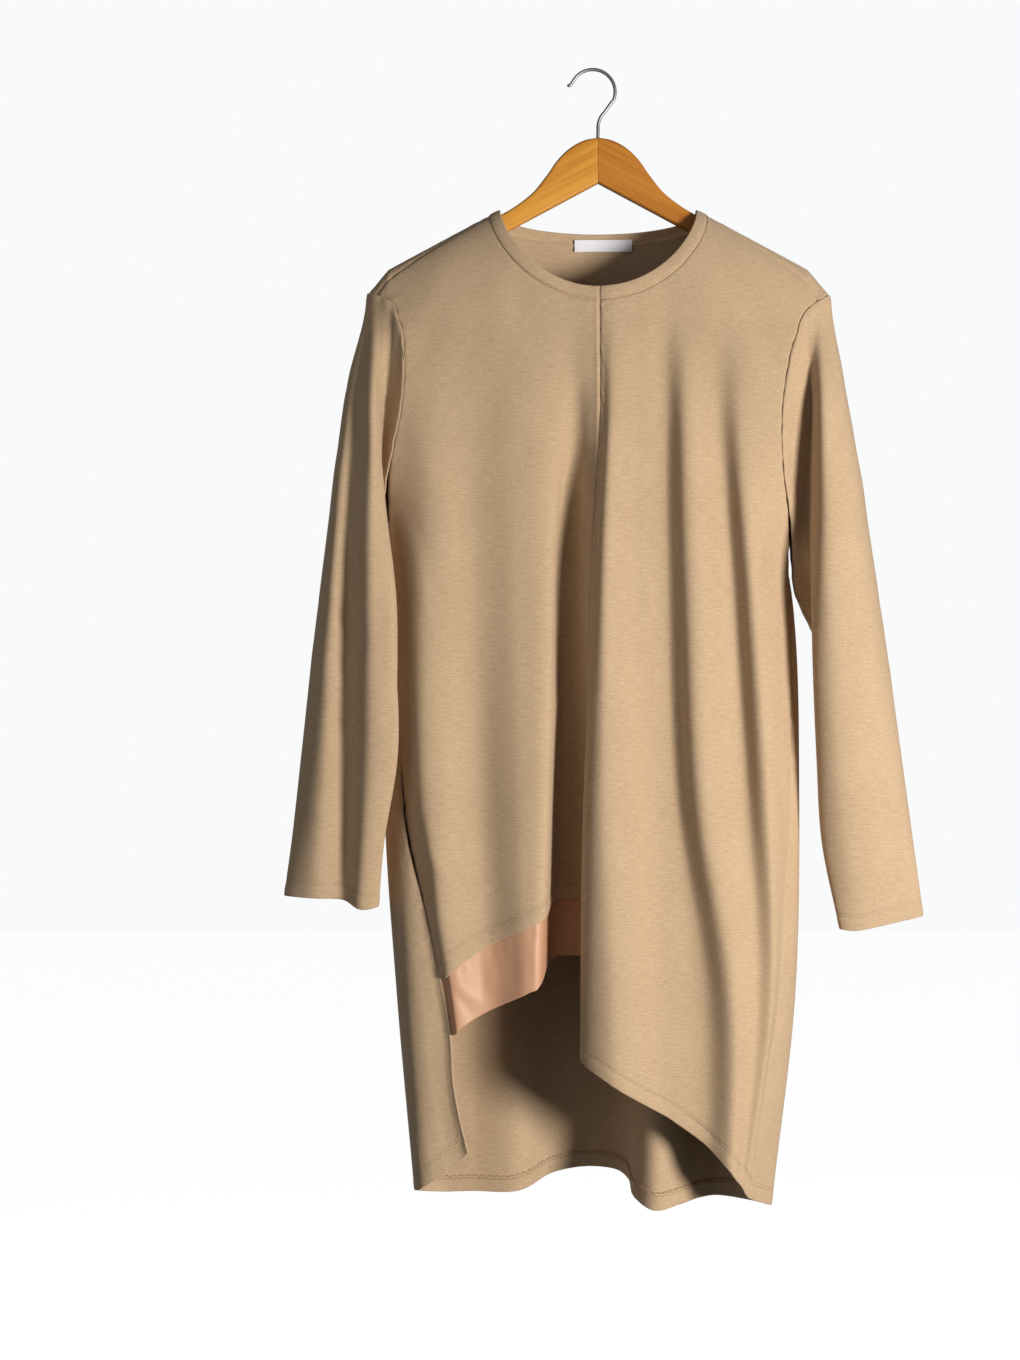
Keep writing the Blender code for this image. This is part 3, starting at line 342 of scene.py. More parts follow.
def across(points, t):
    """The point t lines in along the curve that joins the lines, with a guide at each end."""
    i = np.clip(np.floor(t).astype(int), 0, len(points) - 4)
    f = (t - i)[:, None]
    n = np.arange(len(t))
    p0, p1, p2, p3 = (points[i + k, n] for k in range(4))
    pairs = ((p0, p1), (p1, p2), (p2, p3))
    d0, d1, d2 = (np.sqrt(np.linalg.norm(b - a, axis=1) + 1e-3)[:, None] for a, b in pairs)
    m1 = d1 * ((p1 - p0) / d0 - (p2 - p0) / (d0 + d1) + (p2 - p1) / d1)
    m2 = d1 * ((p2 - p1) / d1 - (p3 - p1) / (d1 + d2) + (p3 - p2) / d2)
    return (
        p1 * (1 + 2 * f) * (1 - f) ** 2
        + p2 * f**2 * (3 - 2 * f)
        + m1 * f * (1 - f) ** 2
        - m2 * f**2 * (1 - f)
    )


FRONT_LINES = len(FRONT_LEFT_FOLDS) + len(FRONT_RIGHT_FOLDS) + 2
BACK_LINES = len(BACK_FOLDS) + 1
CENTRE_LINE = len(FRONT_LEFT_FOLDS) + 1


def body_xy(back, t, z):
    """(x, y) on the front or back, t lines in from its first edge, not yet rounded over."""
    t, z = np.asarray(t, float), np.asarray(z, float)
    front_inner = fold_points((*FRONT_LEFT_FOLDS, CENTRE_SEAM, *FRONT_RIGHT_FOLDS), LEVELS, z)
    back_inner = fold_points(BACK_FOLDS, LEVELS, z)
    own, other = (back_inner, front_inner) if back else (front_inner, back_inner)
    sides = (RIGHT_EDGE, LEFT_EDGE) if back else (LEFT_EDGE, RIGHT_EDGE)
    first, last = (edge_points(side, z, back) for side in sides)
    joined = smooth_step((UNDERARM_Z - z) / SIDE_BLEND)[:, None]
    before = joined * other[-1] + (1 - joined) * (2 * first - own[0])
    after = joined * other[0] + (1 - joined) * (2 * last - own[-1])
    return across(np.concatenate([before[None], first[None], own, last[None], after[None]]), t)


def body_point(back, t, z):
    """Points on the front or back, where the cloth is rounded over the shoulders."""
    xy = body_xy(back, t, z)
    xy[:, 1] *= round_over(np.maximum(shoulder_z(xy[:, 0]) - z, 0.0))
    return np.stack([xy[:, 0], xy[:, 1], z], axis=1)


def line_at(back, x, z):
    """How many lines in from the first edge the body has this x, at heights near its top."""
    x, z = np.atleast_1d(x).astype(float), np.atleast_1d(z).astype(float)
    steps = np.linspace(0.0, BACK_LINES if back else FRONT_LINES, 321)
    all_x = body_xy(back, np.tile(steps, len(z)), np.repeat(z, len(steps)))[:, 0].reshape(len(z), -1)
    sign = -1.0 if back else 1.0
    return np.array([np.interp(sign * want, sign * row, steps) for want, row in zip(x, all_x)])


def surface_at(back, x, z):
    z = np.asarray(z, float)
    return body_point(back, line_at(back, x, z), z)


def height_at_drop(back, t, drop):
    """The height at which each line is this far under the shoulder line."""
    low, high = np.full(len(drop), -1200.0), np.full(len(drop), -60.0)
    for _ in range(30):
        z = (low + high) / 2
        under = shoulder_z(body_xy(back, t, z)[:, 0]) - z > drop
        low, high = np.where(under, z, low), np.where(under, high, z)
    return z


def finer(values, times):
    """The same run of values with more between each two."""
    values = np.asarray(values, float)
    at = np.arange((len(values) - 1) * times + 1) / times
    return np.interp(at, np.arange(len(values)), values)


def edge_drop(back, edge):
    """The edge as t lines in, with the drop at which it meets the shoulder seam."""
    drop = np.array([10.0])
    for _ in range(10):
        drop = seam_drop(body_xy(back, np.array([edge]), height_at_drop(back, np.array([edge]), drop))[:, 0])
    return float(drop[0])


COLUMNS_BETWEEN = 4
EDGE_SHARES = (0.0, 0.12, 0.3, 0.55, 1.0)


def columns_for(back, shoulders, neck_x, crowd):
    """Columns of a panel from left to right on the front, or right to left on the back.

    Each has its t at the top edge, its t from the chest down and the drop of its top.
    shoulders are the x of its shoulder seams, or nothing where it has none on that side.
    """
    first, last = shoulders
    ends = (0.0, float(BACK_LINES if back else FRONT_LINES))
    neck = np.array(neck_x, float)
    neck_line = (back_neck_z if back else front_neck_z)(neck, PANEL_NECK_X - NECK_HALF_WIDTH)
    coarse_t, coarse_x = list(line_at(back, neck, neck_line)), list(neck)
    spread = []
    if first is not None:
        x = np.array(first, float)
        coarse_t = [ends[0], *line_at(back, x, shoulder_z(x) - seam_drop(x)), *coarse_t]
        coarse_x = [None, *x, *coarse_x]
        spread.append((0, len(x) + FAN))
    if last is not None:
        x = np.array(last, float)
        coarse_t = [*coarse_t, *line_at(back, x, shoulder_z(x) - seam_drop(x)), ends[1]]
        coarse_x = [*coarse_x, *x, None]
        spread.append((len(coarse_t) - 1, len(coarse_t) - 1 - len(x) - FAN))
    low = np.array(coarse_t)
    for edge, inner in spread:
        step = 1 if inner > edge else -1
        share = (np.arange(abs(inner - edge) + 1) / abs(inner - edge)) ** crowd
        low[np.arange(edge, inner + step, step)] = low[edge] + (low[inner] - low[edge]) * share
    for k, x in enumerate(coarse_x):
        if x is None:
            at_edge = ends[0] if k == 0 else ends[1]
            z = height_at_drop(back, np.array([at_edge]), np.array([edge_drop(back, at_edge)]))
            coarse_x[k] = float(body_xy(back, np.array([at_edge]), z)[0, 0])
    places = np.arange((len(low) - 1) * COLUMNS_BETWEEN + 1) / COLUMNS_BETWEEN
    gap = 1.0 / COLUMNS_BETWEEN
    near = np.array(EDGE_SHARES) * gap
    places = np.concatenate([near, places[2:-2], len(low) - 1 - near[::-1]])
    x = np.interp(places, np.arange(len(low)), coarse_x)
    on_neck = np.abs(x) <= PANEL_NECK_X
    neck_line = (back_neck_z if back else front_neck_z)(x, PANEL_NECK_X - NECK_HALF_WIDTH)
    on_seam = seam_drop(x) * np.clip((np.abs(x) - PANEL_NECK_X) / (109.0 - PANEL_NECK_X), 0.0, 1.0)
    drop = np.where(on_neck, np.maximum(shoulder_z(x) - neck_line, 0.0), on_seam)
    t_top = line_at(back, x, shoulder_z(x) - drop)
    if first is not None:
        t_top[places < 1] = np.interp(places[places < 1], [0, 1], [ends[0], coarse_t[1]])
    if last is not None:
        beyond = places > len(low) - 2
        t_top[beyond] = np.interp(places[beyond], [len(low) - 2, len(low) - 1], [coarse_t[-2], ends[1]])
    return np.array([t_top, np.interp(places, np.arange(len(low)), low), drop])


YOKE_ROWS = 96
WRAP_ROWS = 16
SKIRT_ROW_GAP = 4.5
HEM_ROWS = (0.0, 0.5, 1.2, 2.4, 4.5, 7.0, 9.6, 11.4, 12.2, 13.0, 13.8, 14.6, 15.4, 17.0, 20.0)
FAN_REACH = 6


def fan_start(roots):
    """Where each column starts to fan out: never above its top, and even with its neighbours'."""
    wide = [roots[max(0, k - FAN_REACH) : k + FAN_REACH + 1].max() for k in range(len(roots))]
    spread = np.ones(2 * FAN_REACH + 1) / (2 * FAN_REACH + 1)
    return np.convolve(np.pad(wide, FAN_REACH, mode="edge"), spread, mode="valid")


def grid_of(back, columns, hem_z, wraps=0):
    """A fine grid of points on the body, hem first, a column for each of columns."""
    t_top, t_low, drop = columns
    count = len(drop)
    root = np.sqrt(drop)
    under = shoulder_z(body_xy(back, t_low, np.full(count, UNDERARM_Z))[:, 0]) - UNDERARM_Z
    share = np.linspace(0.0, 1.0, YOKE_ROWS + 1)
    share = (0.25 * share**2 + 0.75 * share**1.6)[:, None]
    if wraps:
        side = np.minimum(np.arange(count), np.arange(count)[::-1]) <= wraps
        lip = np.linspace(root[0], root[-1], count)
        start = np.where(side, lip, root + lip)
        over = np.linspace(np.where(side, -root, root), start, WRAP_ROWS + 1)[:-1]
        roots = np.concatenate([over, np.sqrt(start**2 + (under - start**2) * share)])
    else:
        roots = np.sqrt(drop + (under - drop) * share)
    t = t_top + (t_low - t_top) * smooth_step((roots - fan_start(roots[0])) / FAN_ROOT)
    z = height_at_drop(back, t.ravel(), (roots**2).ravel())
    upper = body_point(back, t.ravel(), z)
    beyond = (roots < 0).ravel()
    if beyond.any():
        upper[beyond] = surface_at(not back, upper[beyond, 0], z[beyond])
    hem = body_point(back, t_low, hem_z)
    run = np.linalg.norm(np.gradient(hem[:, :2], axis=0), axis=1)
    steep = np.hypot(1.0, np.clip(np.gradient(hem[:, 2]) / np.maximum(run, 0.3), -1.2, 1.2))
    steep = np.convolve(np.pad(steep, 4, mode="edge"), np.ones(9) / 9, mode="valid")
    near = hem_z + np.array(HEM_ROWS)[:, None] * steep
    rows = int((UNDERARM_Z - near[-1].min()) / SKIRT_ROW_GAP)
    rest = np.linspace(near[-1], np.full(count, UNDERARM_Z), rows + 1)[1:-1]
    z_low = np.concatenate([near, rest])
    lower = body_point(back, np.tile(t_low, len(z_low)), z_low.ravel())
    return np.concatenate([lower.reshape(-1, count, 3), upper.reshape(-1, count, 3)[::-1]])


def hem_height(heights, t):
    return run_through(np.arange(len(heights)), heights, t)


def distances(grid):
    """Distance along the cloth of each point from the first and last column and first and last row."""
    width = np.linalg.norm(np.diff(grid, axis=1), axis=2)
    height = np.linalg.norm(np.diff(grid, axis=0), axis=2)
    from_first = np.pad(np.cumsum(width, axis=1), ((0, 0), (1, 0)))
    from_foot = np.pad(np.cumsum(height, axis=0), ((1, 0), (0, 0)))
    return from_first, from_first[:, -1:] - from_first, from_foot, from_foot[-1:] - from_foot


def normals_of(grid, ring_rows=0):
    """Unit normals of a grid of points; its lowest ring_rows + 1 rows are closed rings."""
    along = np.gradient(grid, axis=1)
    if ring_rows:
        rings = grid[: ring_rows + 1]
        along[: ring_rows + 1] = np.roll(rings, -1, 1) - np.roll(rings, 1, 1)
    normal = np.cross(along, np.gradient(grid, axis=0))
    return normal / np.maximum(np.linalg.norm(normal, axis=2, keepdims=True), 1e-9)


Crease = namedtuple("Crease", "x z to_x to_z bow height width")


def creased(grid, creases):
    """Height of soft ridges and troughs that run from (x, z) to (to_x, to_z) in the front view."""
    lift = np.zeros(grid.shape[:2])
    for c in creases:
        run = np.array([c.to_x - c.x, c.to_z - c.z], float)
        length = np.linalg.norm(run)
        run /= length
        rel = grid[:, :, (0, 2)] - (c.x, c.z)
        share = (rel @ run) / length
        side = rel @ np.array([-run[1], run[0]]) - c.bow * 4 * share * (1 - share)
        fade = np.sin(np.clip(share, 0.0, 1.0) * math.pi) ** 0.8
        lift += c.height * fade * np.exp(-((side / c.width) ** 2))
    return lift


SEAM_SINK = 0.9
SEAM_REACH = 1.3
SHOULDER_SEAM_SINK = 1.5
SHOULDER_SEAM_REACH = 1.8


def seam(distance):
    """The cloth turns in where it is sewn to the next piece."""
    return -SEAM_SINK * np.exp(-((distance / SEAM_REACH) ** 2))


def shoulder_seam(distance):
    """The deeper line where the back is sewn over the edge of a front."""
    return -SHOULDER_SEAM_SINK * np.exp(-((distance / SHOULDER_SEAM_REACH) ** 2))


def pucker(distance, along, pitch=15.0, height=0.22, reach=9.0, turn=0.0):
    """The seam takes the cloth up a little unevenly, which shows beside it."""
    wave = np.sin(2 * math.pi * along / pitch + turn)
    wave = wave + 0.6 * np.sin(2 * math.pi * along / (pitch * 1.71) + 2 * turn)
    return height * wave * np.exp(-((distance / reach) ** 2))


HEM_DOUBLE = 0.7
STITCH_ROWS = (12.2, 14.6)


def hem_shape(from_hem):
    """Outside of a turned-up hem: its stitching sinks in, and the fold is a little full."""
    sunk = sum(-0.32 * np.exp(-(((from_hem - at) / 0.75) ** 2)) for at in STITCH_ROWS)
    return sunk + 0.25 * np.exp(-(((from_hem - 6.0) / 4.5) ** 2))


def hem_layers(from_hem):
    """Extra thickness on the inside of a hem, where the cloth is double."""
    return HEM_DOUBLE * smooth_step((15.6 - from_hem) / 1.2)


def add_mesh(name, points, faces, finish, uv=None, smooth=True):
    """A new object from points in millimetres, with uv in metres along the cloth."""
    mesh = bpy.data.meshes.new(name)
    mesh.from_pydata((np.asarray(points) * MM).tolist(), [], faces)
    if uv is not None:
        layer = mesh.uv_layers.new(name="cloth")
        corner = np.zeros(len(mesh.loops), np.int64)
        mesh.loops.foreach_get("vertex_index", corner)
        layer.data.foreach_set("uv", (np.asarray(uv)[corner] * MM).astype(np.float32).ravel())
    if smooth:
        mesh.shade_smooth()
    made = bpy.data.objects.new(name, mesh)
    made.data.materials.append(finish)
    bpy.context.scene.collection.objects.link(made)
    return made


def ring_of(rows, columns, ring_rows):
    """Row and column of each point round the rim of a grid, anticlockwise from its first corner."""
    last = columns - 1
    if ring_rows:
        up = [(r, last) for r in range(ring_rows, rows)]
        back = [(rows - 1, c) for c in range(last - 1, -1, -1)]
        down = [(r, 0) for r in range(rows - 2, ring_rows - 1, -1)]
        return [up + back + down], [[(0, c) for c in range(columns)]]
    out = [(0, c) for c in range(columns)] + [(r, last) for r in range(1, rows)]
    out += [(rows - 1, c) for c in range(last - 1, -1, -1)] + [(r, 0) for r in range(rows - 2, 0, -1)]
    return [out], []


def cloth_piece(name, grid, lift, thick, finish, ring_rows=0, fold=0.5):
    """A piece of cloth with a rounded rim.

    lift moves its outside along the normals, thick is how far the inside lies behind that,
    and fold is how far the rim stands out beyond the grid, as a share of the thickness.
    """
    normal = normals_of(grid, ring_rows)
    outer = grid + normal * lift[..., None]
    outer_normal = normals_of(outer, ring_rows)
    inner = outer - normal * np.broadcast_to(thick, lift.shape)[..., None]
    rows, columns = lift.shape
    points = [outer.reshape(-1, 3), inner.reshape(-1, 3)]
    size = rows * columns
    index = np.arange(size).reshape(rows, columns)
    faces = []
    for row in range(rows - 1):
        here, above = index[row], index[row + 1]
        if row < ring_rows:
            here, above = np.append(here, here[0]), np.append(above, above[0])
        quads = np.stack([here[:-1], here[1:], above[1:], above[:-1]], axis=1)
        faces += quads.tolist() + (quads[:, ::-1] + size).tolist()
    first, last, foot, top = distances(grid)
    middle = first[:, first.shape[1] // 2 : first.shape[1] // 2 + 1]
    uv = np.stack([first - middle, foot + grid[:1, :, 2]], axis=2).reshape(-1, 2)
    uvs = [uv, uv]
    open_rims, hems = ring_of(rows, columns, ring_rows)
    start = 2 * size
    steps = (0.85, 0.5, 0.15)
    for rim, turned in [(r, False) for r in open_rims] + [(r, True) for r in hems]:
        at = np.array([r * columns + c for r, c in rim])
        o, i = points[0][at], points[1][at]
        along = np.roll(o, -1, axis=0) - np.roll(o, 1, axis=0)
        outwards = np.cross(along, o - i)
        outwards /= np.maximum(np.linalg.norm(outwards, axis=1, keepdims=True), 1e-9)
        reach = np.linalg.norm(o - i, axis=1, keepdims=True) * fold
        loops = [at]
        for step in steps:
            bulge = math.sqrt(max(0.0, 1 - (2 * step - 1) ** 2))
            loops.append(np.arange(len(at)) + start)
            start += len(at)
            points.append(i + (o - i) * step + outwards * reach * bulge)
            uvs.append(uv[at])
        loops.append(at + size)
        for a, b in zip(loops, loops[1:]):
            quads = np.stack([b, np.roll(b, -1), np.roll(a, -1), a], axis=1)
            faces += quads.tolist()
    return add_mesh(name, np.concatenate(points), faces, finish, np.concatenate(uvs)), outer, outer_normal


def jersey_finish():
    """Heavy matt knit: fine uneven courses of mixed fibre across the cloth and a soft nap."""
    made = bpy.data.materials.new("sand_jersey")
    made.use_nodes = True
    tree = made.node_tree
    shader = tree.nodes["Principled BSDF"]
    uv = node(tree, "ShaderNodeUVMap", uv_map="cloth").outputs[0]
    mm = node(tree, "ShaderNodeVectorMath", {0: uv, 3: 1000.0}, operation="SCALE").outputs[0]
    course = node(tree, "ShaderNodeMapping", {"Vector": mm, "Scale": (0.12, 1.0, 1.0)}).outputs[0]
    long_streak = node(tree, "ShaderNodeTexNoise", {
        "Vector": course, "Scale": 0.75, "Detail": 3.0, "Roughness": 0.6})
    short = node(tree, "ShaderNodeMapping", {"Vector": mm, "Scale": (0.45, 1.3, 1.0)}).outputs[0]
    short_streak = node(tree, "ShaderNodeTexNoise", {
        "Vector": short, "Scale": 0.9, "Detail": 2.0, "Roughness": 0.55})
    cloud = node(tree, "ShaderNodeTexNoise", {"Vector": mm, "Scale": 0.018, "Detail": 2.0})
    both_streaks = {0: long_streak.outputs[0], 1: short_streak.outputs[0]}
    streaks = node(tree, "ShaderNodeMath", both_streaks, operation="ADD")
    clouded = {0: cloud.outputs[0], 1: 0.25, 2: streaks.outputs[0]}
    fibres = node(tree, "ShaderNodeMath", clouded, operation="MULTIPLY_ADD")
    spread = node(tree, "ShaderNodeMapRange", {"Value": fibres.outputs[0], "From Min": 0.8, "From Max": 1.45})
    ramp = node(tree, "ShaderNodeValToRGB", {"Fac": spread.outputs[0]})
    ramp.color_ramp.elements[0].color = (0.41, 0.276, 0.158, 1.0)
    ramp.color_ramp.elements[1].color = (0.565, 0.4, 0.25, 1.0)
    tree.links.new(ramp.outputs[0], shader.inputs["Base Color"])
    shader.inputs["Roughness"].default_value = 0.86
    shader.inputs["Specular IOR Level"].default_value = 0.25
    shader.inputs["Sheen Weight"].default_value = 0.3
    shader.inputs["Sheen Roughness"].default_value = 0.45
    shader.inputs["Sheen Tint"].default_value = (1.0, 0.96, 0.88, 1.0)
    rows = node(tree, "ShaderNodeTexWave", {"Vector": mm, "Scale": 0.42, "Distortion": 1.2, "Detail": 1.0},
                wave_type="BANDS", bands_direction="Y")
    wales = node(tree, "ShaderNodeTexWave", {"Vector": mm, "Scale": 0.5, "Distortion": 0.8},
                 wave_type="BANDS", bands_direction="X")
    loops = node(tree, "ShaderNodeMath", {0: rows.outputs[1], 1: wales.outputs[1]}, operation="MULTIPLY")
    height = node(tree, "ShaderNodeMath", {0: loops.outputs[0], 1: streaks.outputs[0]}, operation="ADD")
    bump = node(tree, "ShaderNodeBump", {"Height": height.outputs[0], "Strength": 0.35, "Distance": 0.0002})
    tree.links.new(bump.outputs[0], shader.inputs["Normal"])
    return made


jersey = jersey_finish()

# Short front
# One panel of jersey from the centre seam to the left armhole. Its hem is turned up and
# stitched, and it hangs in a deep valley beside the centre.
THREAD = 0.32
STITCH = 2.6
STITCH_GAP = 0.7


def thread_finish(name, colour):
    made = bpy.data.materials.new(name)
    made.use_nodes = True
    tree = made.node_tree
    shader = tree.nodes["Principled BSDF"]
    place = node(tree, "ShaderNodeTexCoord").outputs["Object"]
    twist = node(tree, "ShaderNodeTexNoise", {"Vector": place, "Scale": 1400.0, "Detail": 2.0})
    ramp = node(tree, "ShaderNodeValToRGB", {"Fac": twist.outputs[0]})
    ramp.color_ramp.elements[0].color = (*(0.8 * c for c in colour), 1.0)
    ramp.color_ramp.elements[1].color = (*(1.15 * c for c in colour), 1.0)
    tree.links.new(ramp.outputs[0], shader.inputs["Base Color"])
    shader.inputs["Roughness"].default_value = 0.6
    return made


def stitches(name, runs, finish, stitch=STITCH, gap=STITCH_GAP, thread=THREAD, sway=0.0):
    """Short lengths of thread along runs of (points, normals), each dipping in at its ends."""
    half_profile = ((-0.5, 0.35, -1.0), (-0.36, 0.9, 0.1), (-0.15, 1.0, 0.45))
    profile = (*half_profile, *((-place, wide, high) for place, wide, high in half_profile[::-1]))
    sides = 6
    turn = 2 * math.pi * np.arange(sides) / sides
    points, faces, start = [], [], 0
    for line, normal in runs:
        step = np.linalg.norm(np.diff(line, axis=0), axis=1)
        run = np.concatenate([[0.0], np.cumsum(step)])
        count = max(1, int(run[-1] / (stitch + gap)))
        at = (np.arange(count) + 0.5) * run[-1] / count
        half = stitch * 0.5
        ends = [
            np.stack([np.interp(at + shift, run, line[:, k]) for k in range(3)], axis=1)
            for shift in (-half, half)
        ]
        up = np.stack([np.interp(at, run, normal[:, k]) for k in range(3)], axis=1)
        along = ends[1] - ends[0]
        length = np.linalg.norm(along, axis=1, keepdims=True)
        along /= np.maximum(length, 1e-9)
        beside = np.cross(up, along)
        beside /= np.maximum(np.linalg.norm(beside, axis=1, keepdims=True), 1e-9)
        up = np.cross(along, beside)
        middle = (ends[0] + ends[1]) / 2
        if sway:
            flip = np.where(np.arange(count) % 2, 1.0, -1.0)[:, None]
            along = along + beside * flip * sway
            along /= np.linalg.norm(along, axis=1, keepdims=True)
            length = length * math.hypot(1.0, sway)
            beside = np.cross(up, along)
        for place, wide, high in profile:
            centre = middle + along * length * place + up * thread * high
            for a in turn:
                points.append(centre + (beside * math.cos(a) + up * math.sin(a)) * thread * wide)
        rings = len(profile)
        corner = start + np.arange(rings * sides * count).reshape(rings, sides, count)
        turned = np.roll(corner, -1, axis=1)
        around = np.stack([corner[:-1], turned[:-1], turned[1:], corner[1:]], axis=-1)
        faces += around.reshape(-1, 4).tolist() + corner[0, ::-1].T.tolist() + corner[-1].T.tolist()
        start += rings * sides * count
    return add_mesh(name, np.concatenate(points), faces, finish)


sand_thread = thread_finish("sand_thread", (0.42, 0.29, 0.17))
row_of = {d: k for k, d in enumerate(HEM_ROWS)}


def hem_runs(outer, normal, inside=False, first=3, last=-3):
    """The two rows of stitching of a hem, on its outside or inside."""
    back = -(CLOTH + HEM_DOUBLE) if inside else 0.0
    sign = -1.0 if inside else 1.0
    runs = []
    for distance in STITCH_ROWS:
        row = row_of[distance]
        across_row = normal[row, first:last]
        runs.append((outer[row, first:last] + across_row * back, across_row * sign))
    return runs


def dress(piece, node_name, sewing=()):
    """Hides the part from model.glb that a piece of cloth replaces, and attaches the piece and its stitching to
    the root body.
    """
    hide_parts(node_name)
    for part in (piece, *sewing):
        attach(part, "root")


SHORT_FRONT_CREASES = (
    Crease(-88, -150, -120, -330, 6, 0.9, 16),
    Crease(-120, -190, -172, -300, -8, -1.1, 13),
    Crease(-104, -165, -60, -290, 5, -0.7, 14),
    Crease(-182, -330, -140, -470, 10, 1.3, 12),
    Crease(-186, -400, -150, -520, 6, -1.2, 9),
    Crease(-60, -230, -34, -420, 4, -1.0, 13),
    Crease(-128, -520, -126, -760, 3, -1.0, 15),
    Crease(-92, -560, -86, -800, -2, 0.8, 12),
    Crease(-20, -290, -33, -600, 0, -8.5, 10),
    Crease(-24, -350, -30, -520, 0, -3.5, 7),
    Crease(-150, -600, -146, -820, 4, 0.9, 11),
    Crease(-172, -700, -156, -800, 3, -1.6, 5),
    Crease(-168, -728, -140, -770, 2, 1.0, 6),
)
hem = (LEFT_HEM_Z["front"], *(f.hem_z for f in FRONT_LEFT_FOLDS), CENTRE_HEM_Z["short"])
short_columns = columns_for(
    False, ([-x for x in LEFT_SHOULDER_X], None), [-x for x in LEFT_NECK_X], EDGE_CROWD["front"]
)
short_grid = grid_of(False, short_columns, hem_height(hem, short_columns[1]))
side, centre, foot, top = distances(short_grid)
lift = seam(side) + seam(centre) + shoulder_seam(top) + hem_shape(foot)
lift += creased(short_grid, SHORT_FRONT_CREASES)
lift += pucker(side, foot, 17.0, 0.3) + pucker(centre, foot, 21.0, 0.14, turn=1.0)
lift += pucker(top, side, 13.0, 0.16)
lift += 0.55 * np.exp(-(((centre - 2.6) / 1.4) ** 2))
front_short, short_outer, short_normal = cloth_piece(
    "front_short_cloth", short_grid, lift, CLOTH + hem_layers(foot), jersey, fold=0.35
)
hem_thread = stitches("short_hem_stitches", hem_runs(short_outer, short_normal), sand_thread)
dress(front_short, "front_short", [hem_thread])

# Long front
# The other front panel. Below the short hem its edge hangs free as a soft fold, and its
# turned-up hem runs down from there to the right side seam.
LONG_FRONT_CREASES = (
    Crease(92, -160, 128, -330, -6, 0.8, 15),
    Crease(118, -190, 165, -290, 8, -1.1, 12),
    Crease(60, -215, 72, -420, -3, -0.9, 11),
    Crease(170, -340, 140, -460, -8, 1.2, 11),
    Crease(176, -420, 150, -540, -6, -1.1, 9),
    Crease(7, -330, 2, -600, 0, 2.6, 7),
    Crease(22, -520, 34, -880, 2, 0.9, 9),
    Crease(44, -560, 62, -900, 2, -0.9, 8),
    Crease(66, -280, 76, -720, 2, -1.5, 9),
    Crease(82, -290, 98, -760, 2, 1.3, 9),
    Crease(110, -300, 136, -770, 3, -2.5, 9),
    Crease(128, -330, 152, -790, 3, 2.2, 9),
    Crease(-8, -640, -8, -880, 0, 0.7, 8),
)
hem = (CENTRE_HEM_Z["long"], *(f.hem_z for f in FRONT_RIGHT_FOLDS), RIGHT_HEM_Z["front"])
long_columns = columns_for(False, (None, RIGHT_SHOULDER_X[::-1]), RIGHT_NECK_X, EDGE_CROWD["front"])
long_grid = grid_of(False, long_columns, hem_height(hem, long_columns[1] - CENTRE_LINE))
centre, side, foot, top = distances(long_grid)
sewn = smooth_step((long_grid[:, :, 2] - CENTRE_HEM_Z["short"]) / 12.0)
lift = seam(side) + seam(centre) * sewn + shoulder_seam(top) + hem_shape(foot)
lift += creased(long_grid, LONG_FRONT_CREASES)
lift += pucker(side, foot, 17.0, 0.3) + pucker(centre, foot, 21.0, 0.12) * sewn
lift += pucker(top, side, 13.0, 0.16)
front_long, long_outer, long_normal = cloth_piece(
    "front_long_cloth", long_grid, lift, CLOTH + hem_layers(foot), jersey, fold=0.35
)
hem_thread = stitches("long_hem_stitches", hem_runs(long_outer, long_normal), sand_thread)
dress(front_long, "front_long", [hem_thread])

# Back
# One panel that comes over the shoulders to the forward seams and wraps round both sides.
# Its left edge is open under the short front, with its allowance turned in.
BACK_CREASES = (
    Crease(96, -165, 150, -330, 6, -1.2, 13),
    Crease(-96, -165, -150, -330, -6, -1.2, 13),
    Crease(60, -190, 84, -400, -4, 0.9, 14),
    Crease(-60, -190, -88, -420, 4, 0.9, 14),
    Crease(150, -340, 120, -520, 8, 1.2, 12),
    Crease(-150, -340, -118, -540, -8, 1.2, 12),
    Crease(-100, -560, -98, -900, 3, -1.0, 13),
    Crease(122, -560, 124, -900, -3, 0.9, 12),
    Crease(70, -700, 66, -1000, 2, 0.8, 10),
    Crease(-150, -700, -142, -1000, -4, 1.0, 11),
)
WRAP_CREASES = (
    Crease(-186, -640, -156, -1100, 0, 7.5, 12),
    Crease(-150, -800, -136, -1100, 0, -1.5, 8),
)
SLIT_TURNING = 6.5
hem = (RIGHT_HEM_Z["back"], *(f.hem_z for f in BACK_FOLDS), LEFT_HEM_Z["back"])
back_columns = columns_for(
    True,
    (RIGHT_SHOULDER_X, [-x for x in LEFT_SHOULDER_X[::-1]]),
    [*BACK_NECK_X, 0.0, *(-x for x in BACK_NECK_X[::-1])],
    EDGE_CROWD["back"],
)
wrap_columns = COLUMNS_BETWEEN * (len(RIGHT_SHOULDER_X) + 1) + 2
back_grid = grid_of(True, back_columns, hem_height(hem, back_columns[1]), wraps=wrap_columns)
right, left, foot, top = distances(back_grid)
sewn = smooth_step((back_grid[:, :, 2] - LEFT_HEM_Z["front"]) / 10.0)
over_chest = smooth_step((right - 40.0) / 40.0) * smooth_step((left - 40.0) / 40.0)
lift = seam(right) + seam(left) * sewn + seam(top) + hem_shape(foot)
lift += creased(back_grid, BACK_CREASES) * over_chest
lift += pucker(right, foot, 17.0, 0.3) + pucker(left, foot, 17.0, 0.3) * sewn
lift += pucker(top, right, 13.0, 0.16)
lift += creased(back_grid, WRAP_CREASES) * smooth_step((4.0 - back_grid[:, :, 1]) / 14.0)
lift += (1 - sewn) * -0.6 * np.exp(-(((left - SLIT_TURNING) / 0.9) ** 2))
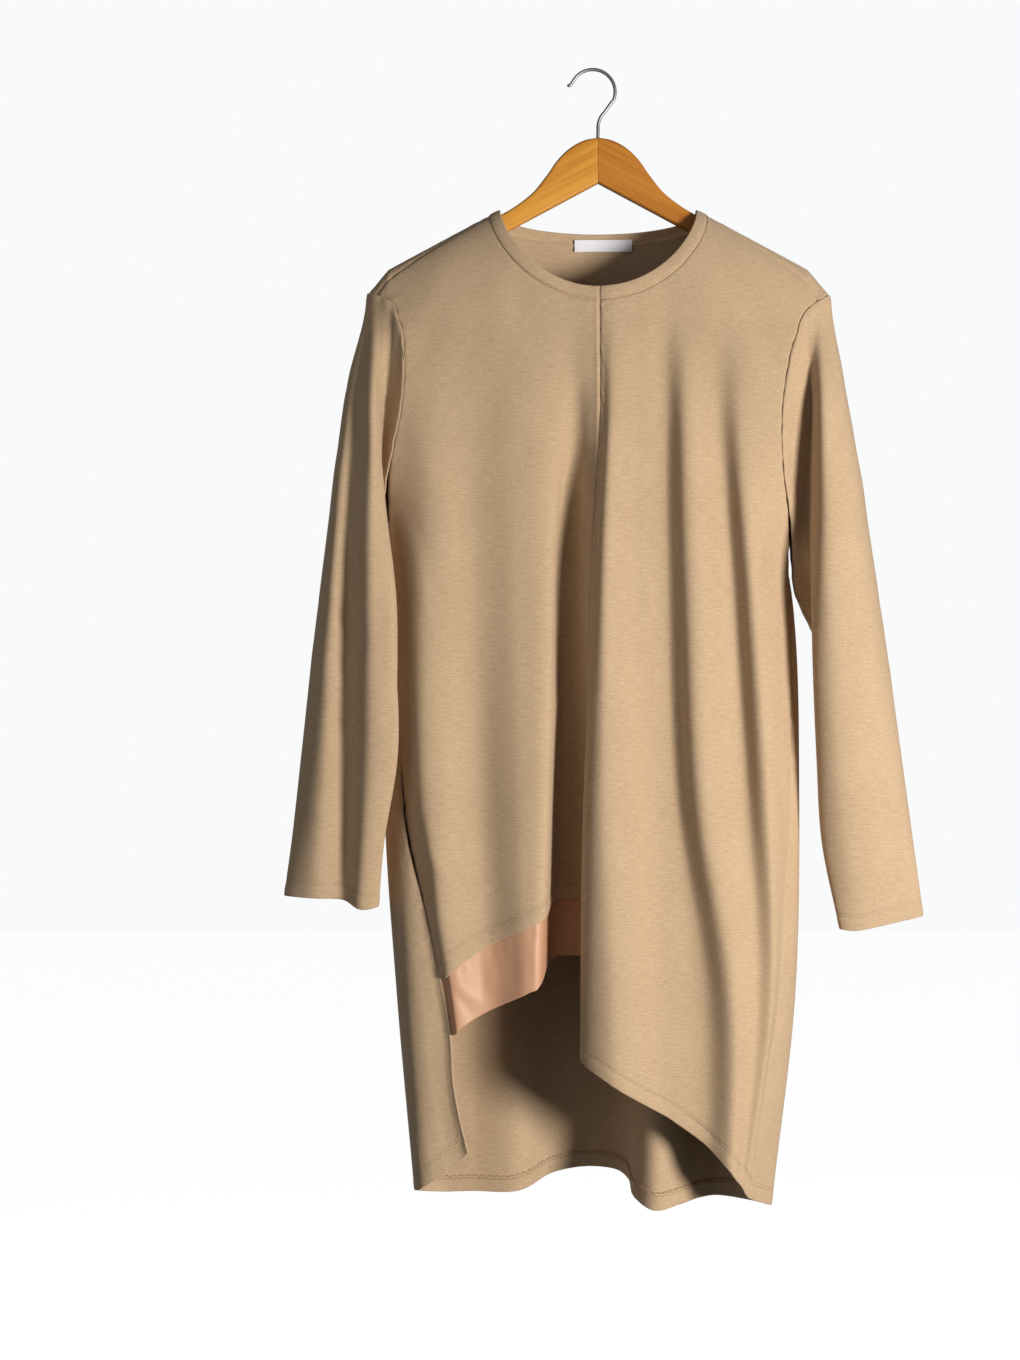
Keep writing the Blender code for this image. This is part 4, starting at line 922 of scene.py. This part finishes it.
turned_in = (1 - sewn) * HEM_DOUBLE * smooth_step(SLIT_TURNING + 1.0 - left)
thick = CLOTH + np.maximum(hem_layers(foot), turned_in)
back_cloth, back_outer, back_normal = cloth_piece("back_cloth", back_grid, lift, thick, jersey, fold=0.35)
rust_thread = thread_finish("rust_thread", (0.36, 0.19, 0.1))
hem_thread = stitches("back_hem_stitches", hem_runs(back_outer, back_normal), sand_thread)
inside_rows = hem_runs(back_outer, back_normal, inside=True)
inside_thread = stitches("back_hem_inside_stitches", inside_rows, rust_thread, 3.0, 0.5, 0.34, 0.5)
slit = back_grid[:, -1, 2] < LEFT_HEM_Z["front"] - 4.0
at_turning = [int(np.argmin(np.abs(row - SLIT_TURNING))) for row in left]
rows_of_slit = np.flatnonzero(slit)[len(HEM_ROWS) - 6 :]
places = (rows_of_slit, [at_turning[r] for r in rows_of_slit])
slit_rows = [(back_outer[places], back_normal[places])]
slit_rows.append((back_outer[places] - back_normal[places] * (CLOTH + HEM_DOUBLE), -back_normal[places]))
slit_thread = stitches("slit_stitches", slit_rows, sand_thread)
sewing = [hem_thread, inside_thread, slit_thread]
dress(back_cloth, "back", sewing)

# Satin band
# A strip of blush satin sewn behind the short front's hem, which shows below it.
SATIN = 1.0
SATIN_GAP = 0.35
SATIN_HEM_Z = (-910.0, -905.0, -885.0, -869.0, -863.0, -842.0, -840.0, -840.0)
SATIN_TUCK = 7.0
SATIN_ROWS = 34
SATIN_CREASES = (
    Crease(-142, -862, -114, -900, 3, -0.7, 5),
    Crease(-137, -858, -100, -884, -2, 0.5, 5),
    Crease(-112, -838, -108, -880, 1, -0.5, 4),
    Crease(-104, -836, -100, -872, 1, 0.5, 5),
    Crease(-84, -826, -80, -868, 0, -0.5, 6),
    Crease(-62, -818, -58, -860, 0, 0.5, 5),
)


def satin_finish():
    made = bpy.data.materials.new("blush_satin")
    made.use_nodes = True
    tree = made.node_tree
    shader = tree.nodes["Principled BSDF"]
    uv = node(tree, "ShaderNodeUVMap", uv_map="cloth").outputs[0]
    mm = node(tree, "ShaderNodeVectorMath", {0: uv, 3: 1000.0}, operation="SCALE").outputs[0]
    floats = node(tree, "ShaderNodeMapping", {"Vector": mm, "Scale": (2.2, 0.25, 1.0)}).outputs[0]
    weave = node(tree, "ShaderNodeTexNoise", {"Vector": floats, "Scale": 1.6, "Detail": 2.0})
    ramp = node(tree, "ShaderNodeValToRGB", {"Fac": weave.outputs[0]})
    ramp.color_ramp.elements[0].position = 0.3
    ramp.color_ramp.elements[0].color = (0.52, 0.275, 0.155, 1.0)
    ramp.color_ramp.elements[1].position = 0.7
    ramp.color_ramp.elements[1].color = (0.595, 0.33, 0.195, 1.0)
    tree.links.new(ramp.outputs[0], shader.inputs["Base Color"])
    shader.inputs["Roughness"].default_value = 0.48
    shader.inputs["Specular IOR Level"].default_value = 0.4
    shader.inputs["Anisotropic"].default_value = 0.3
    bump = node(tree, "ShaderNodeBump", {"Height": weave.outputs[0], "Strength": 0.2, "Distance": 0.0001})
    tree.links.new(bump.outputs[0], shader.inputs["Normal"])
    return made


satin = satin_finish()
t = short_columns[1]
short_hem = (LEFT_HEM_Z["front"], *(f.hem_z for f in FRONT_LEFT_FOLDS), CENTRE_HEM_Z["short"])
z = np.linspace(hem_height(SATIN_HEM_Z, t), hem_height(short_hem, t) + SATIN_TUCK, SATIN_ROWS)
band_grid = body_point(False, np.tile(t, SATIN_ROWS), z.ravel()).reshape(SATIN_ROWS, len(t), 3)
band_grid = band_grid[:, 3:-3]
side, centre, foot, top = distances(band_grid)
lift = creased(band_grid, SATIN_CREASES) * smooth_step((top - 4.0) / 6.0) - (CLOTH + HEM_DOUBLE + SATIN_GAP)
lift += pucker(top, side, 11.0, 0.35, 16.0, 0.7) * smooth_step((top - 8.0) / 6.0)
lift -= 0.15 * np.exp(-(((foot - 5.0) / 0.7) ** 2))
satin_band = cloth_piece("satin_band_cloth", band_grid, lift, SATIN, satin, fold=0.45)[0]
dress(satin_band, "satin_band")

# Neck binding
# Strips of the same jersey, folded over the neck edge and stitched down, with a join at
# the centre seam and one at each shoulder.
BAND_CLOTH = 2.0
BAND_PROUD = 0.4
BAND_ROWS = 13


def neck_ring(back, x, wider):
    """Points round the neck at these x, where the ring is wider than the neck edge."""
    x = np.array(x, float) * (NECK_HALF_WIDTH + wider) / PANEL_NECK_X
    z = (back_neck_z if back else front_neck_z)(x, wider)
    return surface_at(back, x, np.minimum(z, shoulder_z(x)))


front_x = [*(-x for x in LEFT_NECK_X), *RIGHT_NECK_X[1:]]
back_x = [*BACK_NECK_X[1:], 0.0, *(-x for x in BACK_NECK_X[:0:-1])]
BAND_FINER = 5
band_width = PANEL_NECK_X - NECK_HALF_WIDTH
fine_front = finer(front_x, BAND_FINER)
fine_back = finer([PANEL_NECK_X, *back_x, -PANEL_NECK_X], BAND_FINER)[1:-1]
rings = []
for w in np.linspace(band_width, 0.0, BAND_ROWS):
    rings.append(np.concatenate([neck_ring(False, fine_front, w), neck_ring(True, fine_back, w)]))
neck_grid = np.array(rings)
ring_count = neck_grid.shape[1]
centre_at = (len(LEFT_NECK_X) - 1) * BAND_FINER
right_at = len(fine_front) - 1
for name, start, stop, flat, sewn_to in (
    ("neckband_short", 0, centre_at, (0.0118, 0.19), "front_short_cloth"),
    ("neckband_long", centre_at, right_at, (0.0118, 0.2), "front_long_cloth"),
    ("neckband_back", right_at, ring_count, (0.0118, 0.285), "back_cloth"),
):
    strip = neck_grid[:, np.arange(start, stop + 1) % ring_count]
    begin, end, low, high = distances(strip)
    lift = BAND_PROUD + 0.45 * np.sin(np.clip(low / band_width, 0.0, 1.0) * math.pi) ** 0.7
    lift += seam(begin) * 0.7 + seam(end) * 0.7 - 0.9 * np.exp(-((low / 0.9) ** 2))
    lift += pucker(low, begin, 5.2, 0.09, 5.0)
    piece, outer, normal = cloth_piece(name + "_cloth", strip, lift, BAND_CLOTH + 0.3, jersey, fold=0.45)
    run = [(outer[1] + normal[1] * 0.1, normal[1])]
    thread = stitches(name + "_stitches", run, sand_thread, 2.0, 0.8, 0.26)
    dress(piece, name, [thread])

# Neck label
# A blank woven tape with folded ends, stitched to the inside of the back neck.
LABEL_SIZE = (55.0, 11.0)
LABEL_CLOTH = 0.8
LABEL_AT = (6.0, 5.2)


def label_finish():
    made = bpy.data.materials.new("white_tape")
    made.use_nodes = True
    tree = made.node_tree
    shader = tree.nodes["Principled BSDF"]
    uv = node(tree, "ShaderNodeUVMap", uv_map="cloth").outputs[0]
    mm = node(tree, "ShaderNodeVectorMath", {0: uv, 3: 1000.0}, operation="SCALE").outputs[0]
    fine = {"Vector": mm, "Scale": 0.9}
    picks = node(tree, "ShaderNodeTexWave", fine, wave_type="BANDS", bands_direction="Y")
    ends = node(tree, "ShaderNodeTexWave", fine, wave_type="BANDS", bands_direction="X")
    weave = node(tree, "ShaderNodeMath", {0: picks.outputs[1], 1: ends.outputs[1]}, operation="MULTIPLY")
    ramp = node(tree, "ShaderNodeValToRGB", {"Fac": weave.outputs[0]})
    ramp.color_ramp.elements[0].color = (0.8, 0.79, 0.82, 1.0)
    ramp.color_ramp.elements[1].color = (0.9, 0.89, 0.91, 1.0)
    tree.links.new(ramp.outputs[0], shader.inputs["Base Color"])
    shader.inputs["Roughness"].default_value = 0.6
    bump = node(tree, "ShaderNodeBump", {"Height": weave.outputs[0], "Strength": 0.3, "Distance": 0.0001})
    tree.links.new(bump.outputs[0], shader.inputs["Normal"])
    return made


tape = label_finish()
label_top = float(back_neck_z(0.0, band_width)) + LABEL_AT[1]
x = LABEL_AT[0] + np.linspace(LABEL_SIZE[0] / 2, -LABEL_SIZE[0] / 2, 61)
heights = np.linspace(label_top - LABEL_SIZE[1], label_top, 19)
label_grid = np.array([surface_at(True, x, np.full(61, z)) for z in heights])
begin, end, low, high = distances(label_grid)
lift = -(CLOTH + 1.3) - 0.35 * np.sin(begin / LABEL_SIZE[0] * math.pi) * smooth_step(high / 9.0)
lift += 0.18 * np.exp(-(((begin - 1.8) / 0.5) ** 2)) + 0.18 * np.exp(-(((end - 1.8) / 0.5) ** 2))
label, outer, normal = cloth_piece("neck_label_tape", label_grid, lift, LABEL_CLOTH, tape, fold=0.4)
white_thread = thread_finish("white_thread", (0.72, 0.71, 0.74))
face = outer - normal * LABEL_CLOTH
ends_sewn = [(face[:, k], -normal[:, k]) for k in (2, -3)]
thread = stitches("label_stitches", ends_sewn, white_thread, 1.5, 0.5, 0.2)
dress(label, "neck_label", [thread])

# Sleeves
# Long straight sleeves sewn round the armholes. They hang down beside the body, folded in
# against it above the elbow, and end in turned-up hems.
LEFT_SLEEVE_LEVELS = (-800.0, -730.0, -650.0, -540.0, -420.0, -300.0)
RIGHT_SLEEVE_LEVELS = (-810.0, -730.0, -650.0, -540.0, -420.0, -300.0)
SleeveFold = namedtuple("SleeveFold", "name cuff wrist forearm elbow arm head cuff_z place")
LEFT_SLEEVE_SEAM = SleeveFold(
    "seam", (-214, -4), (-217, -8), (-212, -10), (-212, -8), (-206, 0), (-202, 0), -785, 0
)
LEFT_SLEEVE_FOLDS = [SleeveFold(*row) for row in (
    ("inner front", (-211, -12), (-212, -20), (-203, -25), (-206, -21), (-204.5, -17), (-190, -27), -787, 0.08),
    ("crevice", (-209.5, -18), (-206, -28), (-196, -35), (-201.5, -31), (-208, -22), (-200, -18), -789, 0.17),
    ("inner edge", (-210, -26), (-203, -36), (-190, -45), (-193, -46), (-203, -35), (-208, -30), -790, 0.25),
    ("front roll", (-224, -31), (-219, -42), (-214, -51), (-213, -55), (-213, -49), (-212, -38), -792, 0.34),
    ("hollow", (-241, -17), (-239, -22), (-238, -27), (-237, -28), (-234, -27), (-226, -23), -784, 0.41),
    ("outer front", (-271, -23), (-265, -29), (-259, -33), (-253, -34), (-245, -29), (-234, -18), -782, 0.46),
    ("over arm", (-299, -6), (-289, -5), (-280, -3), (-268, 0), (-253, 2), (-238, 0), -781, 0.52),
    ("outer back", (-264, 8), (-258, 14), (-250, 19), (-243, 24), (-236, 28), (-228, 22), -781, 0.61),
    ("back roll", (-236, 8), (-234, 13), (-230, 18), (-226, 24), (-220, 34), (-212, 33), -783, 0.75),
    ("inner back", (-219, 2), (-222, 3), (-217, 4), (-215, 8), (-204, 24), (-195, 32), -784, 0.91),
)]
RIGHT_SLEEVE_SEAM = SleeveFold(
    "seam", (230, -4), (218, -1), (213, 0), (209, 1), (192, 0), (188, 0), -802, 0
)
RIGHT_SLEEVE_FOLDS = [SleeveFold(*row) for row in (
    ("inner front", (229, -12), (217, -9), (214, -10), (211, -7), (190, -12), (182, -28), -807, 0.08),
    ("crevice", (228, -18), (214, -17), (210, -20), (208, -20), (200, -10), (204, -16), -810, 0.17),
    ("inner edge", (228, -25), (211, -27), (205, -36), (200, -41), (201, -31), (203, -26), -811, 0.25),
    ("front roll", (242, -29), (229, -38), (220, -47), (213, -53), (210, -50), (208, -39), -812, 0.34),
    ("outer front", (281, -20), (272, -28), (264, -34), (252, -40), (239, -36), (227, -24), -805, 0.46),
    ("over arm", (308, -6), (297, -4), (286, -3), (271, -1), (253, 0), (234, 0), -800, 0.52),
    ("outer back", (282, 9), (274, 20), (266, 26), (254, 32), (241, 33), (230, 23), -799, 0.61),
    ("back roll", (252, 12), (245, 22), (238, 30), (229, 38), (218, 41), (212, 34), -799, 0.75),
    ("inner back", (237, 4), (224, 9), (218, 14), (212, 18), (198, 26), (192, 32), -801, 0.91),
)]
SLEEVE_SEAM_HALF = 3.0
ARMHOLE_GAP = 0.3
UNDERARM_GAP = 3.4
SLEEVE_HEAD_NODES = 4
HEAD_FINER = 11
SLEEVE_HEAD_ROWS = 56
SLEEVE_HEAD_BLEND = 105.0
SLEEVE_CREASES = {
    "left": (
        Crease(-238, -300, -214, -420, 6, -1.3, 8),
        Crease(-246, -360, -222, -470, -5, 1.2, 9),
        Crease(-262, -500, -214, -556, 6, -1.4, 9),
        Crease(-266, -540, -222, -600, -6, 1.1, 10),
        Crease(-270, -600, -222, -640, 4, -1.0, 8),
        Crease(-282, -690, -236, -720, 4, 0.8, 9),
        Crease(-232, -640, -240, -770, 0, -1.0, 7),
    ),
    "right": (
        Crease(240, -300, 218, -400, -6, -1.3, 8),
        Crease(250, -360, 226, -460, 5, 1.1, 9),
        Crease(268, -500, 222, -552, -6, -1.3, 9),
        Crease(274, -560, 228, -610, 6, 1.1, 10),
        Crease(280, -640, 232, -676, -4, -1.0, 8),
        Crease(292, -710, 246, -736, -4, 0.8, 9),
        Crease(262, -640, 270, -790, 0, -0.9, 8),
    ),
}


def armhole(side, back, z):
    """The armhole edge at these heights, moved out by its gap from the body."""
    sign = -1.0 if side == "left" else 1.0
    xy = edge_points(LEFT_EDGE if side == "left" else RIGHT_EDGE, z, back)
    y = xy[:, 1] * round_over(np.maximum(shoulder_z(xy[:, 0]) - z, 0.0))
    under = smooth_step((UNDERARM_Z + 110.0 - z) / 110.0)
    gap = ARMHOLE_GAP + (UNDERARM_GAP - ARMHOLE_GAP) * under
    return np.stack([xy[:, 0] + sign * gap, y, z], axis=1)


def sleeve_lines(side, z):
    """The sleeve's edges and folds: open at the armhole, and a ring below the underarm."""
    left = side == "left"
    folds = LEFT_SLEEVE_FOLDS if left else RIGHT_SLEEVE_FOLDS
    seam_line = LEFT_SLEEVE_SEAM if left else RIGHT_SLEEVE_SEAM
    levels = LEFT_SLEEVE_LEVELS if left else RIGHT_SLEEVE_LEVELS
    inner = fold_points(folds, levels, z)
    low = smooth_step((UNDERARM_Z - z) / 70.0)[:, None]
    at_seam = fold_points([seam_line], levels, z)[0]
    ends = []
    for back, y in ((False, -SLEEVE_SEAM_HALF), (True, SLEEVE_SEAM_HALF)):
        over = armhole(side, back, np.maximum(z, UNDERARM_Z + 0.01))[:, :2]
        ends.append(over + (at_seam + (0.0, y) - over) * low)
    ring = smooth_step((UNDERARM_Z - z) / 40.0)[:, None]
    before = ring * inner[-1] + (1 - ring) * (2 * ends[0] - inner[0])
    after = ring * inner[0] + (1 - ring) * (2 * ends[1] - inner[-1])
    return np.concatenate([before[None], ends[0][None], inner, ends[1][None], after[None]])


def edge_at_roots(side, back, roots):
    """Points of a body edge at these square roots of drop, taken over the shoulder when under 0."""
    last = float(BACK_LINES if back else FRONT_LINES)
    t = np.full(len(roots), 0.0 if (side == "left") != back else last)
    z = height_at_drop(back, t, roots**2)
    points = body_point(back, t, z)
    over = roots < 0
    if over.any():
        points[over] = surface_at(not back, points[over, 0], z[over])
    return points


def sleeve_head(side):
    """Points round the sleeve head from the front of the armhole over to its back."""
    runs = []
    for back in (False, True):
        edge = 0.0 if (side == "left") != back else float(BACK_LINES if back else FRONT_LINES)
        root = math.sqrt(edge_drop(back, edge))
        under_x = body_xy(back, np.array([edge]), np.array([UNDERARM_Z]))[0, 0]
        under = math.sqrt(shoulder_z(under_x) - UNDERARM_Z)
        runs.append((root, under))
    (front_root, front_under), (back_root, back_under) = runs
    step = (front_under - front_root) / SEAM_NODES
    down = SLEEVE_HEAD_NODES * HEAD_FINER + 1
    front = np.linspace(front_root + step * SLEEVE_HEAD_NODES, front_root, down)
    over = np.linspace(-back_root, back_root, WRAP_NODES * HEAD_FINER + 1)[1:]
    step = (back_under - back_root) / SEAM_NODES
    behind = np.linspace(back_root, back_root + step * SLEEVE_HEAD_NODES, down)[1:]
    over_and_behind = edge_at_roots(side, True, np.concatenate([over, behind]))
    head = np.concatenate([edge_at_roots(side, False, front), over_and_behind])
    head[:, 0] += -ARMHOLE_GAP if side == "left" else ARMHOLE_GAP
    return head


SLEEVE_BULGES = {
    "left": (Crease(-200, -372, -193, -580, 0, 5.0, 7),),
    "right": (Crease(206, -420, 206, -520, 0, 1.0, 6),),
}
for side_name in ("left", "right"):
    folds = LEFT_SLEEVE_FOLDS if side_name == "left" else RIGHT_SLEEVE_FOLDS
    seam_line = LEFT_SLEEVE_SEAM if side_name == "left" else RIGHT_SLEEVE_SEAM
    head = sleeve_head(side_name)
    place = np.linspace(0.0, 1.0, len(head))
    lines = np.arange(len(folds) + 2)
    t = np.interp(place, (0.0, *(f.place for f in folds), 1.0), lines)
    cuff_z = run_through(lines, (seam_line.cuff_z, *(f.cuff_z for f in folds), seam_line.cuff_z), t)
    near = cuff_z + np.array(HEM_ROWS)[:, None]
    rows = int((UNDERARM_Z - near[-1].min()) / SKIRT_ROW_GAP)
    arm = np.linspace(near[-1], np.full(len(t), UNDERARM_Z), rows + 1)[1:]
    share = np.linspace(0.0, 1.0, SLEEVE_HEAD_ROWS + 1)[1:, None]
    z = np.concatenate([near, arm, UNDERARM_Z + (head[:, 2] - UNDERARM_Z) * share])
    ring_rows = len(near) + len(arm) - 1
    grid = np.empty((len(z), len(t), 3))
    for row, heights in enumerate(z):
        grid[row, :, :2] = across(sleeve_lines(side_name, heights), t)
        grid[row, :, 2] = heights
    fade = 1.0 - smooth_step((head[:, 2] - z) / SLEEVE_HEAD_BLEND)
    grid[:, :, :2] += (head[:, :2] - grid[-1, :, :2]) * fade[:, :, None]
    front, behind, foot, top = distances(grid)
    if side_name == "left":
        grid, front, behind, foot, top = (a[:, ::-1] for a in (grid, front, behind, foot, top))
    lift = CLOTH + seam(front) + seam(behind) + seam(top) + hem_shape(foot)
    lift += creased(grid, SLEEVE_CREASES[side_name]) + pucker(top, front, 14.0, 0.25)
    lift += pucker(np.minimum(front, behind), foot, 18.0, 0.25)
    lift += creased(grid, SLEEVE_BULGES[side_name]) * smooth_step((-grid[:, :, 1] - 8.0) / 12.0)
    name = f"sleeve_{side_name}"
    piece, outer, normal = cloth_piece(
        name + "_cloth", grid, lift, CLOTH + hem_layers(foot), jersey, ring_rows=ring_rows, fold=0.35
    )
    thread = stitches(f"cuff_{side_name}_stitches", hem_runs(outer, normal, first=0, last=None), sand_thread)
    dress(piece, name, [thread])

# Hanger
# Two halves of varnished wood, cut from flat board with rounded edges and joined in the
# middle, with a bent chrome wire hook set in a hole at the top.
WOOD_THICKNESS = 12.0
WOOD_EDGE = 3.0
WOOD_UNDER_CLOTH = 5.4
WOOD_APEX_Z = -63.2
WOOD_CROTCH_Z = -106.0
WOOD_HUMP = ((12.0, -65.3), (25.0, -71.8), (37.0, -82.5), (48.5, -98.5), (62.0, -115.2), (77.0, -127.2))
WIRE_RADIUS = 1.6
SHANK_DEPTH = 20.0
HOOK_RADIUS = 21.2
HOOK_CENTRE = (-5.0, -19.0)


def wood_finish(name, dark, light, slope):
    """Clear-varnished wood whose grain runs along the arm, down by slope to the side."""
    made = bpy.data.materials.new(name)
    made.use_nodes = True
    tree = made.node_tree
    shader = tree.nodes["Principled BSDF"]
    place = node(tree, "ShaderNodeTexCoord").outputs["Object"]
    turned = node(tree, "ShaderNodeMapping", {"Vector": place, "Rotation": (0.0, slope, 0.0)}).outputs[0]
    grain = node(tree, "ShaderNodeMapping", {"Vector": turned, "Scale": (14.0, 420.0, 520.0)}).outputs[0]
    fibre = node(tree, "ShaderNodeTexNoise", {
        "Vector": grain, "Scale": 1.0, "Detail": 5.0, "Roughness": 0.62})
    ring_space = node(tree, "ShaderNodeMapping", {"Vector": turned, "Scale": (3.0, 60.0, 95.0)}).outputs[0]
    ring = node(tree, "ShaderNodeTexNoise", {
        "Vector": ring_space, "Scale": 1.0, "Detail": 2.0, "Distortion": 0.6})
    both = node(tree, "ShaderNodeMath", {0: fibre.outputs[0], 1: ring.outputs[0]}, operation="ADD")
    ramp = node(tree, "ShaderNodeValToRGB", {"Fac": node(tree, "ShaderNodeMapRange", {
        "Value": both.outputs[0], "From Min": 0.7, "From Max": 1.3}).outputs[0]})
    ramp.color_ramp.elements[0].color = (*dark, 1.0)
    ramp.color_ramp.elements[1].color = (*light, 1.0)
    tree.links.new(ramp.outputs[0], shader.inputs["Base Color"])
    shader.inputs["Roughness"].default_value = 0.38
    shader.inputs["Coat Weight"].default_value = 0.35
    shader.inputs["Coat Roughness"].default_value = 0.22
    bump = node(tree, "ShaderNodeBump", {"Height": fibre.outputs[0], "Strength": 0.12, "Distance": 0.0002})
    tree.links.new(bump.outputs[0], shader.inputs["Normal"])
    return made


def under_edge_z(x):
    """Height of the straight lower edge of the hanger, x out from its middle."""
    return WOOD_CROTCH_Z - SHOULDER_SLOPE * x


def arm_outline():
    """(x, z) round one half of the hanger, from the top of the joint out to the tip and back."""
    tip = HANGER_TIP_X - 6.0
    shoulder = [(x, float(shoulder_z(x)) - WOOD_UNDER_CLOTH) for x in (100.0, 130.0, 160.0, tip - 9.0)]
    tip_z = float(shoulder_z(tip)) - WOOD_UNDER_CLOTH
    hump = np.array([(0.15, WOOD_APEX_Z), *WOOD_HUMP, *shoulder])
    run = np.concatenate([[0.0], np.cumsum(np.linalg.norm(np.diff(hump, axis=0), axis=1))])
    upper = run_through(run, hump, np.linspace(0.0, run[-1], 60))
    nose = [(tip - 2.5, tip_z - 1.5), (tip, tip_z - 6.0), (tip, tip_z - 13.0)]
    nose.append((tip - 4.0, under_edge_z(tip - 4.0) + 2.0))
    nose.append((tip - 12.0, under_edge_z(tip - 12.0)))
    nose = np.array([upper[-1], *nose])
    run = np.concatenate([[0.0], np.cumsum(np.linalg.norm(np.diff(nose, axis=0), axis=1))])
    round_nose = run_through(run, nose, np.linspace(0.0, run[-1], 18)[1:])
    under = [(x, under_edge_z(x)) for x in (150.0, 120.0, 84.0, 50.0, 20.0)]
    return [*map(tuple, upper), *map(tuple, round_nose), *under, (0.15, WOOD_CROTCH_Z)]


# The right half is a darker copy of the same wood: its darker tone is painted shade, standing in for how the
# light falls on its grain, which runs the other way.
WOODS = {
    "left": wood_finish("varnished_wood_left", (0.5, 0.18, 0.016), (0.77, 0.345, 0.045), 0.49),
    "right": wood_finish("varnished_wood_right_painted_shade", (0.375, 0.12, 0.01), (0.61, 0.235, 0.026), -0.49),
}
for side_name, sign in (("left", -1.0), ("right", 1.0)):
    mesh = bmesh.new()
    face = mesh.faces.new(
        [mesh.verts.new((sign * x * MM, -WOOD_THICKNESS / 2 * MM, z * MM)) for x, z in arm_outline()]
    )
    made = bmesh.ops.extrude_face_region(mesh, geom=[face])
    moved = [v for v in made["geom"] if isinstance(v, bmesh.types.BMVert)]
    bmesh.ops.translate(mesh, verts=moved, vec=(0.0, WOOD_THICKNESS * MM, 0.0))
    bmesh.ops.recalc_face_normals(mesh, faces=mesh.faces)
    rims = [
        e for e in mesh.edges
        if abs(e.verts[0].co.y - e.verts[1].co.y) < MM * 0.1 and not all(abs(v.co.x) < MM for v in e.verts)
    ]
    bmesh.ops.bevel(mesh, geom=rims, offset=WOOD_EDGE * MM, segments=5, profile=0.5, affect="EDGES")
    data = bpy.data.meshes.new(f"hanger_wood_{side_name}")
    mesh.to_mesh(data)
    mesh.free()
    data.shade_smooth()
    data.set_sharp_from_angle(angle=math.radians(40))
    arm = bpy.data.objects.new(f"hanger_wood_{side_name}", data)
    arm.data.materials.append(WOODS[side_name])
    bpy.context.scene.collection.objects.link(arm)
    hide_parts(f"hanger_arm_{side_name}")
    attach(arm, "root")


def chrome_finish():
    made = bpy.data.materials.new("chrome_wire")
    made.use_nodes = True
    tree = made.node_tree
    shader = tree.nodes["Principled BSDF"]
    place = node(tree, "ShaderNodeTexCoord").outputs["Object"]
    wear = node(tree, "ShaderNodeTexNoise", {"Vector": place, "Scale": 420.0, "Detail": 3.0})
    rough = node(tree, "ShaderNodeMapRange", {"Value": wear.outputs[0], "To Min": 0.46, "To Max": 0.56})
    tree.links.new(rough.outputs[0], shader.inputs["Roughness"])
    shader.inputs["Base Color"].default_value = (0.36, 0.36, 0.38, 1.0)
    shader.inputs["Metallic"].default_value = 1.0
    return made


WIRE_SIDES = 20
WIRE_STEPS = 180
foot_z = WOOD_APEX_Z - SHANK_DEPTH + 0.6
shank = [(0.0, foot_z), (0.0, foot_z + 10.0), (0.0, -56.0), (0.3, -49.5), (2.6, -43.0)]
shank += [(7.2, -37.0), (11.8, -30.5)]
turns = np.radians(np.arange(-20.0, 150.0, 12.0))
crown = np.array(HOOK_CENTRE) + HOOK_RADIUS * np.stack([np.cos(turns), np.sin(turns)], axis=1)
stops = np.concatenate([shank, crown, [(-26.4, -12.4), (-29.2, -13.6)]])
run = np.concatenate([[0.0], np.cumsum(np.linalg.norm(np.diff(stops, axis=0), axis=1))])
line = run_through(run, stops, np.linspace(0.0, run[-1], WIRE_STEPS + 1))
along = np.gradient(line, axis=0)
along /= np.linalg.norm(along, axis=1, keepdims=True)
to_end = np.minimum(np.linspace(0.0, run[-1], WIRE_STEPS + 1), np.linspace(run[-1], 0.0, WIRE_STEPS + 1))
radius = WIRE_RADIUS * np.sqrt(np.clip(1.0 - (1.0 - np.clip(to_end / 1.2, 0.0, 1.0)) ** 2, 0.15, 1.0))
turn = 2 * math.pi * np.arange(WIRE_SIDES) / WIRE_SIDES
points = [
    (x - tz * r * math.cos(a), r * math.sin(a), z + tx * r * math.cos(a))
    for (x, z), (tx, tz), r in zip(line, along, radius)
    for a in turn
]
faces = [list(range(WIRE_SIDES)), list(range(len(points) - 1, len(points) - 1 - WIRE_SIDES, -1))]
for i in range(WIRE_STEPS):
    for j in range(WIRE_SIDES):
        k = (j + 1) % WIRE_SIDES
        here, ahead = i * WIRE_SIDES, (i + 1) * WIRE_SIDES
        faces.append([here + k, here + j, ahead + j, ahead + k])
wire = add_mesh("hook_wire", points, faces, chrome_finish())
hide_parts("hanger_hook")
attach(wire, "root")

low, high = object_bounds()
